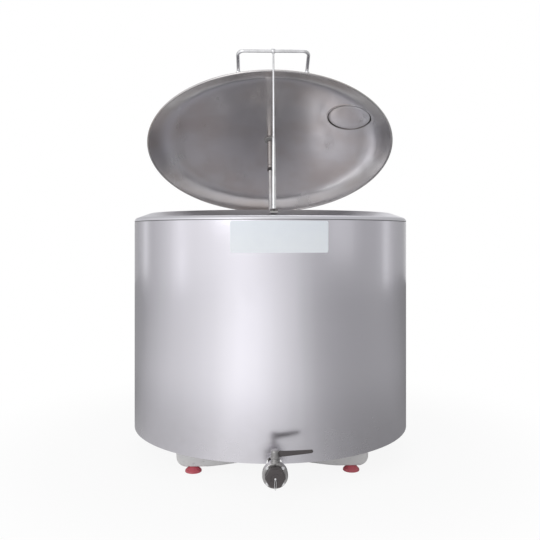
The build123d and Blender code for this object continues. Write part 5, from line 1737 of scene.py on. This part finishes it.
class TANK_OT_stage(TankOperator, bpy.types.Operator):
    """Set the camera, the floor and the studio light"""

    bl_idname = "tank.stage"
    bl_label = "Stage"

    floor_half = 9.0
    sensor = 36.0
    shift_aside = -0.0007
    vessel_aim = 1.2

    def camera(self, stage):
        """The camera stands level at eye height and looks at the tank's axis."""
        data = bpy.data.cameras.new("camera")
        data.lens = stage.lens
        data.sensor_width = self.sensor
        data.shift_x = self.shift_aside
        data.shift_y = stage.horizon
        made = bpy.data.objects.new("camera", data)
        made.location = from_front(stage.distance, stage.turn, stage.eye_height)
        made.rotation_euler = (math.pi / 2, 0, stage.turn)
        bpy.context.scene.collection.objects.link(made)
        bpy.context.scene.camera = made

    def floor(self):
        """A flat pale floor, white to the camera and to reflections but for the shadow that lies on it; what
        reflections show of it is darker near the tank, a painted shadow.
        """
        half = self.floor_half
        corners = np.array([(-half, -half, 0), (half, -half, 0), (half, half, 0), (-half, half, 0)], float)
        sheet = (corners, np.array([(0, 1, 2, 3)]))
        made = bpy.data.objects.new("floor", to_mesh("floor", sheet, 1.0))
        bpy.context.scene.collection.objects.link(made)
        graph = Graph(bpy.data.materials.new("tank_floor"))
        seen, glossy = graph.node("ShaderNodeLightPath", output=("Is Camera Ray", "Is Glossy Ray"))
        x, y, _ = graph.spot()
        mottle = graph.noise(x * 3.0, y * 3.0, 0.0, 4.0)
        colour = graph.blend(mottle, (0.86, 0.86, 0.86, 1), (0.90, 0.90, 0.90, 1))
        reach = graph.math("SQRT", x * x + y * y)
        far = graph.ease(reach, 0.7, 1.5)
        lit = graph.node("ShaderNodeBsdfDiffuse", None, {"Color": colour}, "BSDF")
        # Painted shadow: the glow that reflections see is darker near the tank.
        near = 0.72 + 0.28 * graph.ease(reach, 0.8, 2.4)
        strength = seen + (1 - seen) * near * studio_level(graph, x, y, FLOOR_RING)
        white = graph.node("ShaderNodeEmission", None, {"Color": (1, 1, 1, 1), "Strength": strength})
        share = graph.math("MAXIMUM", seen * (0.90 + 0.10 * far), glossy * 0.85)
        mixed = graph.node("ShaderNodeMixShader", None, {0: share, 1: lit, 2: white})
        graph.node("ShaderNodeOutputMaterial", None, {"Surface": mixed}, ())
        made.data.materials.append(finished("floor"))

    def lamp(self, name, power, width, height, spot, aim):
        """A soft box: an area lamp that faces a point."""
        data = bpy.data.lights.new(name, "AREA")
        data.shape = "RECTANGLE"
        data.size = width
        data.size_y = height
        data.energy = power
        made = bpy.data.objects.new(name, data)
        made.location = spot
        made.rotation_euler = (Vector(aim) - Vector(spot)).to_track_quat("-Z", "Y").to_euler()
        bpy.context.scene.collection.objects.link(made)

    def studio(self):
        """White to the camera; around the tank a soft ring of light panels and greyer gaps by direction."""
        world = bpy.data.worlds.new("studio")
        bpy.context.scene.world = world
        graph = Graph(world)
        where = graph.node("ShaderNodeTexCoord", output="Generated")
        x, y, z = graph.node("ShaderNodeSeparateXYZ", None, {0: where}, ("X", "Y", "Z"))
        up = graph.ease(z, 0.35, 0.9)
        level = studio_level(graph, x, y, WALL_RING) * (1 - up) + up * 0.60
        seen, through = graph.node("ShaderNodeLightPath", output=("Is Camera Ray", "Is Transmission Ray"))
        white = graph.math("MAXIMUM", seen, through)
        strength = white + (1 - white) * level
        light = graph.node("ShaderNodeBackground", None, {"Color": (1, 1, 1, 1), "Strength": strength})
        graph.node("ShaderNodeOutputWorld", None, {"Surface": light}, ())

    def build(self, sizes, colours, stage):
        self.camera(stage)
        self.floor()
        self.lamp("key_light", stage.key_power, 2.2, 2.6, (-2.3, -3.9, 2.3), (0, 0, 0.7))
        self.lamp("fill_light", stage.fill_power, 2.0, 2.4, (3.6, -2.6, 1.8), (0, 0, 0.7))
        self.lamp("top_light", stage.top_power, 3.0, 2.4, (0.2, 0.4, 4.2), (0, 0, 0.8))
        aim = self.vessel_aim
        self.lamp("bounce_light", stage.bounce_power, 0.5, 0.4, (0.0, 0.20, 0.45), (0.0, 0.20, aim))
        self.lamp("glint_light", stage.glint_power, 0.11, 0.11, (0.22, 0.38, 0.45), (0.22, 0.38, aim))
        self.studio()
        bpy.context.scene.view_settings.view_transform = "Standard"


class TANK_PT_panel(bpy.types.Panel):
    """Lists the tank's settings and operators in the sidebar"""

    bl_idname = "TANK_PT_panel"
    bl_label = "Milk tank"
    bl_space_type = "VIEW_3D"
    bl_region_type = "UI"
    bl_category = "Milk tank"

    def draw(self, context):
        """Shows each operator's button, then the settings."""
        for operator in OPERATORS:
            self.layout.operator(operator.bl_idname)
        for group in (context.scene.tank_sizes, context.scene.tank_colours, context.scene.tank_stage):
            column = self.layout.column()
            for key in group.bl_rna.properties.keys():
                if key not in ("rna_type", "name"):
                    column.prop(group, key)


SETTINGS = {"tank_colours": TankColours, "tank_sizes": TankSizes, "tank_stage": TankStage}
OPERATORS = (
    TANK_OT_finishes,
    TANK_OT_shell,
    TANK_OT_film,
    TANK_OT_vessel,
    TANK_OT_lid,
    TANK_OT_hatch,
    TANK_OT_stirrer,
    TANK_OT_drive,
    TANK_OT_prop,
    TANK_OT_feet,
    TANK_OT_valve,
    TANK_OT_unit,
    TANK_OT_stage,
)


def register():
    """Registers the settings, the operators and the panel."""
    for name, group in SETTINGS.items():
        bpy.utils.register_class(group)
        setattr(bpy.types.Scene, name, bpy.props.PointerProperty(type=group))
    for kind in (*OPERATORS, TANK_PT_panel):
        bpy.utils.register_class(kind)


def unregister():
    """Takes back what register added."""
    for kind in reversed((*OPERATORS, TANK_PT_panel)):
        bpy.utils.unregister_class(kind)
    for name, group in SETTINGS.items():
        delattr(bpy.types.Scene, name)
        bpy.utils.unregister_class(group)


def main():
    """Registers the add-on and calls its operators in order."""
    register()
    for operator in OPERATORS:
        group, name = operator.bl_idname.split(".")
        getattr(getattr(bpy.ops, group), name)()


if __name__ == "__main__":
    main()
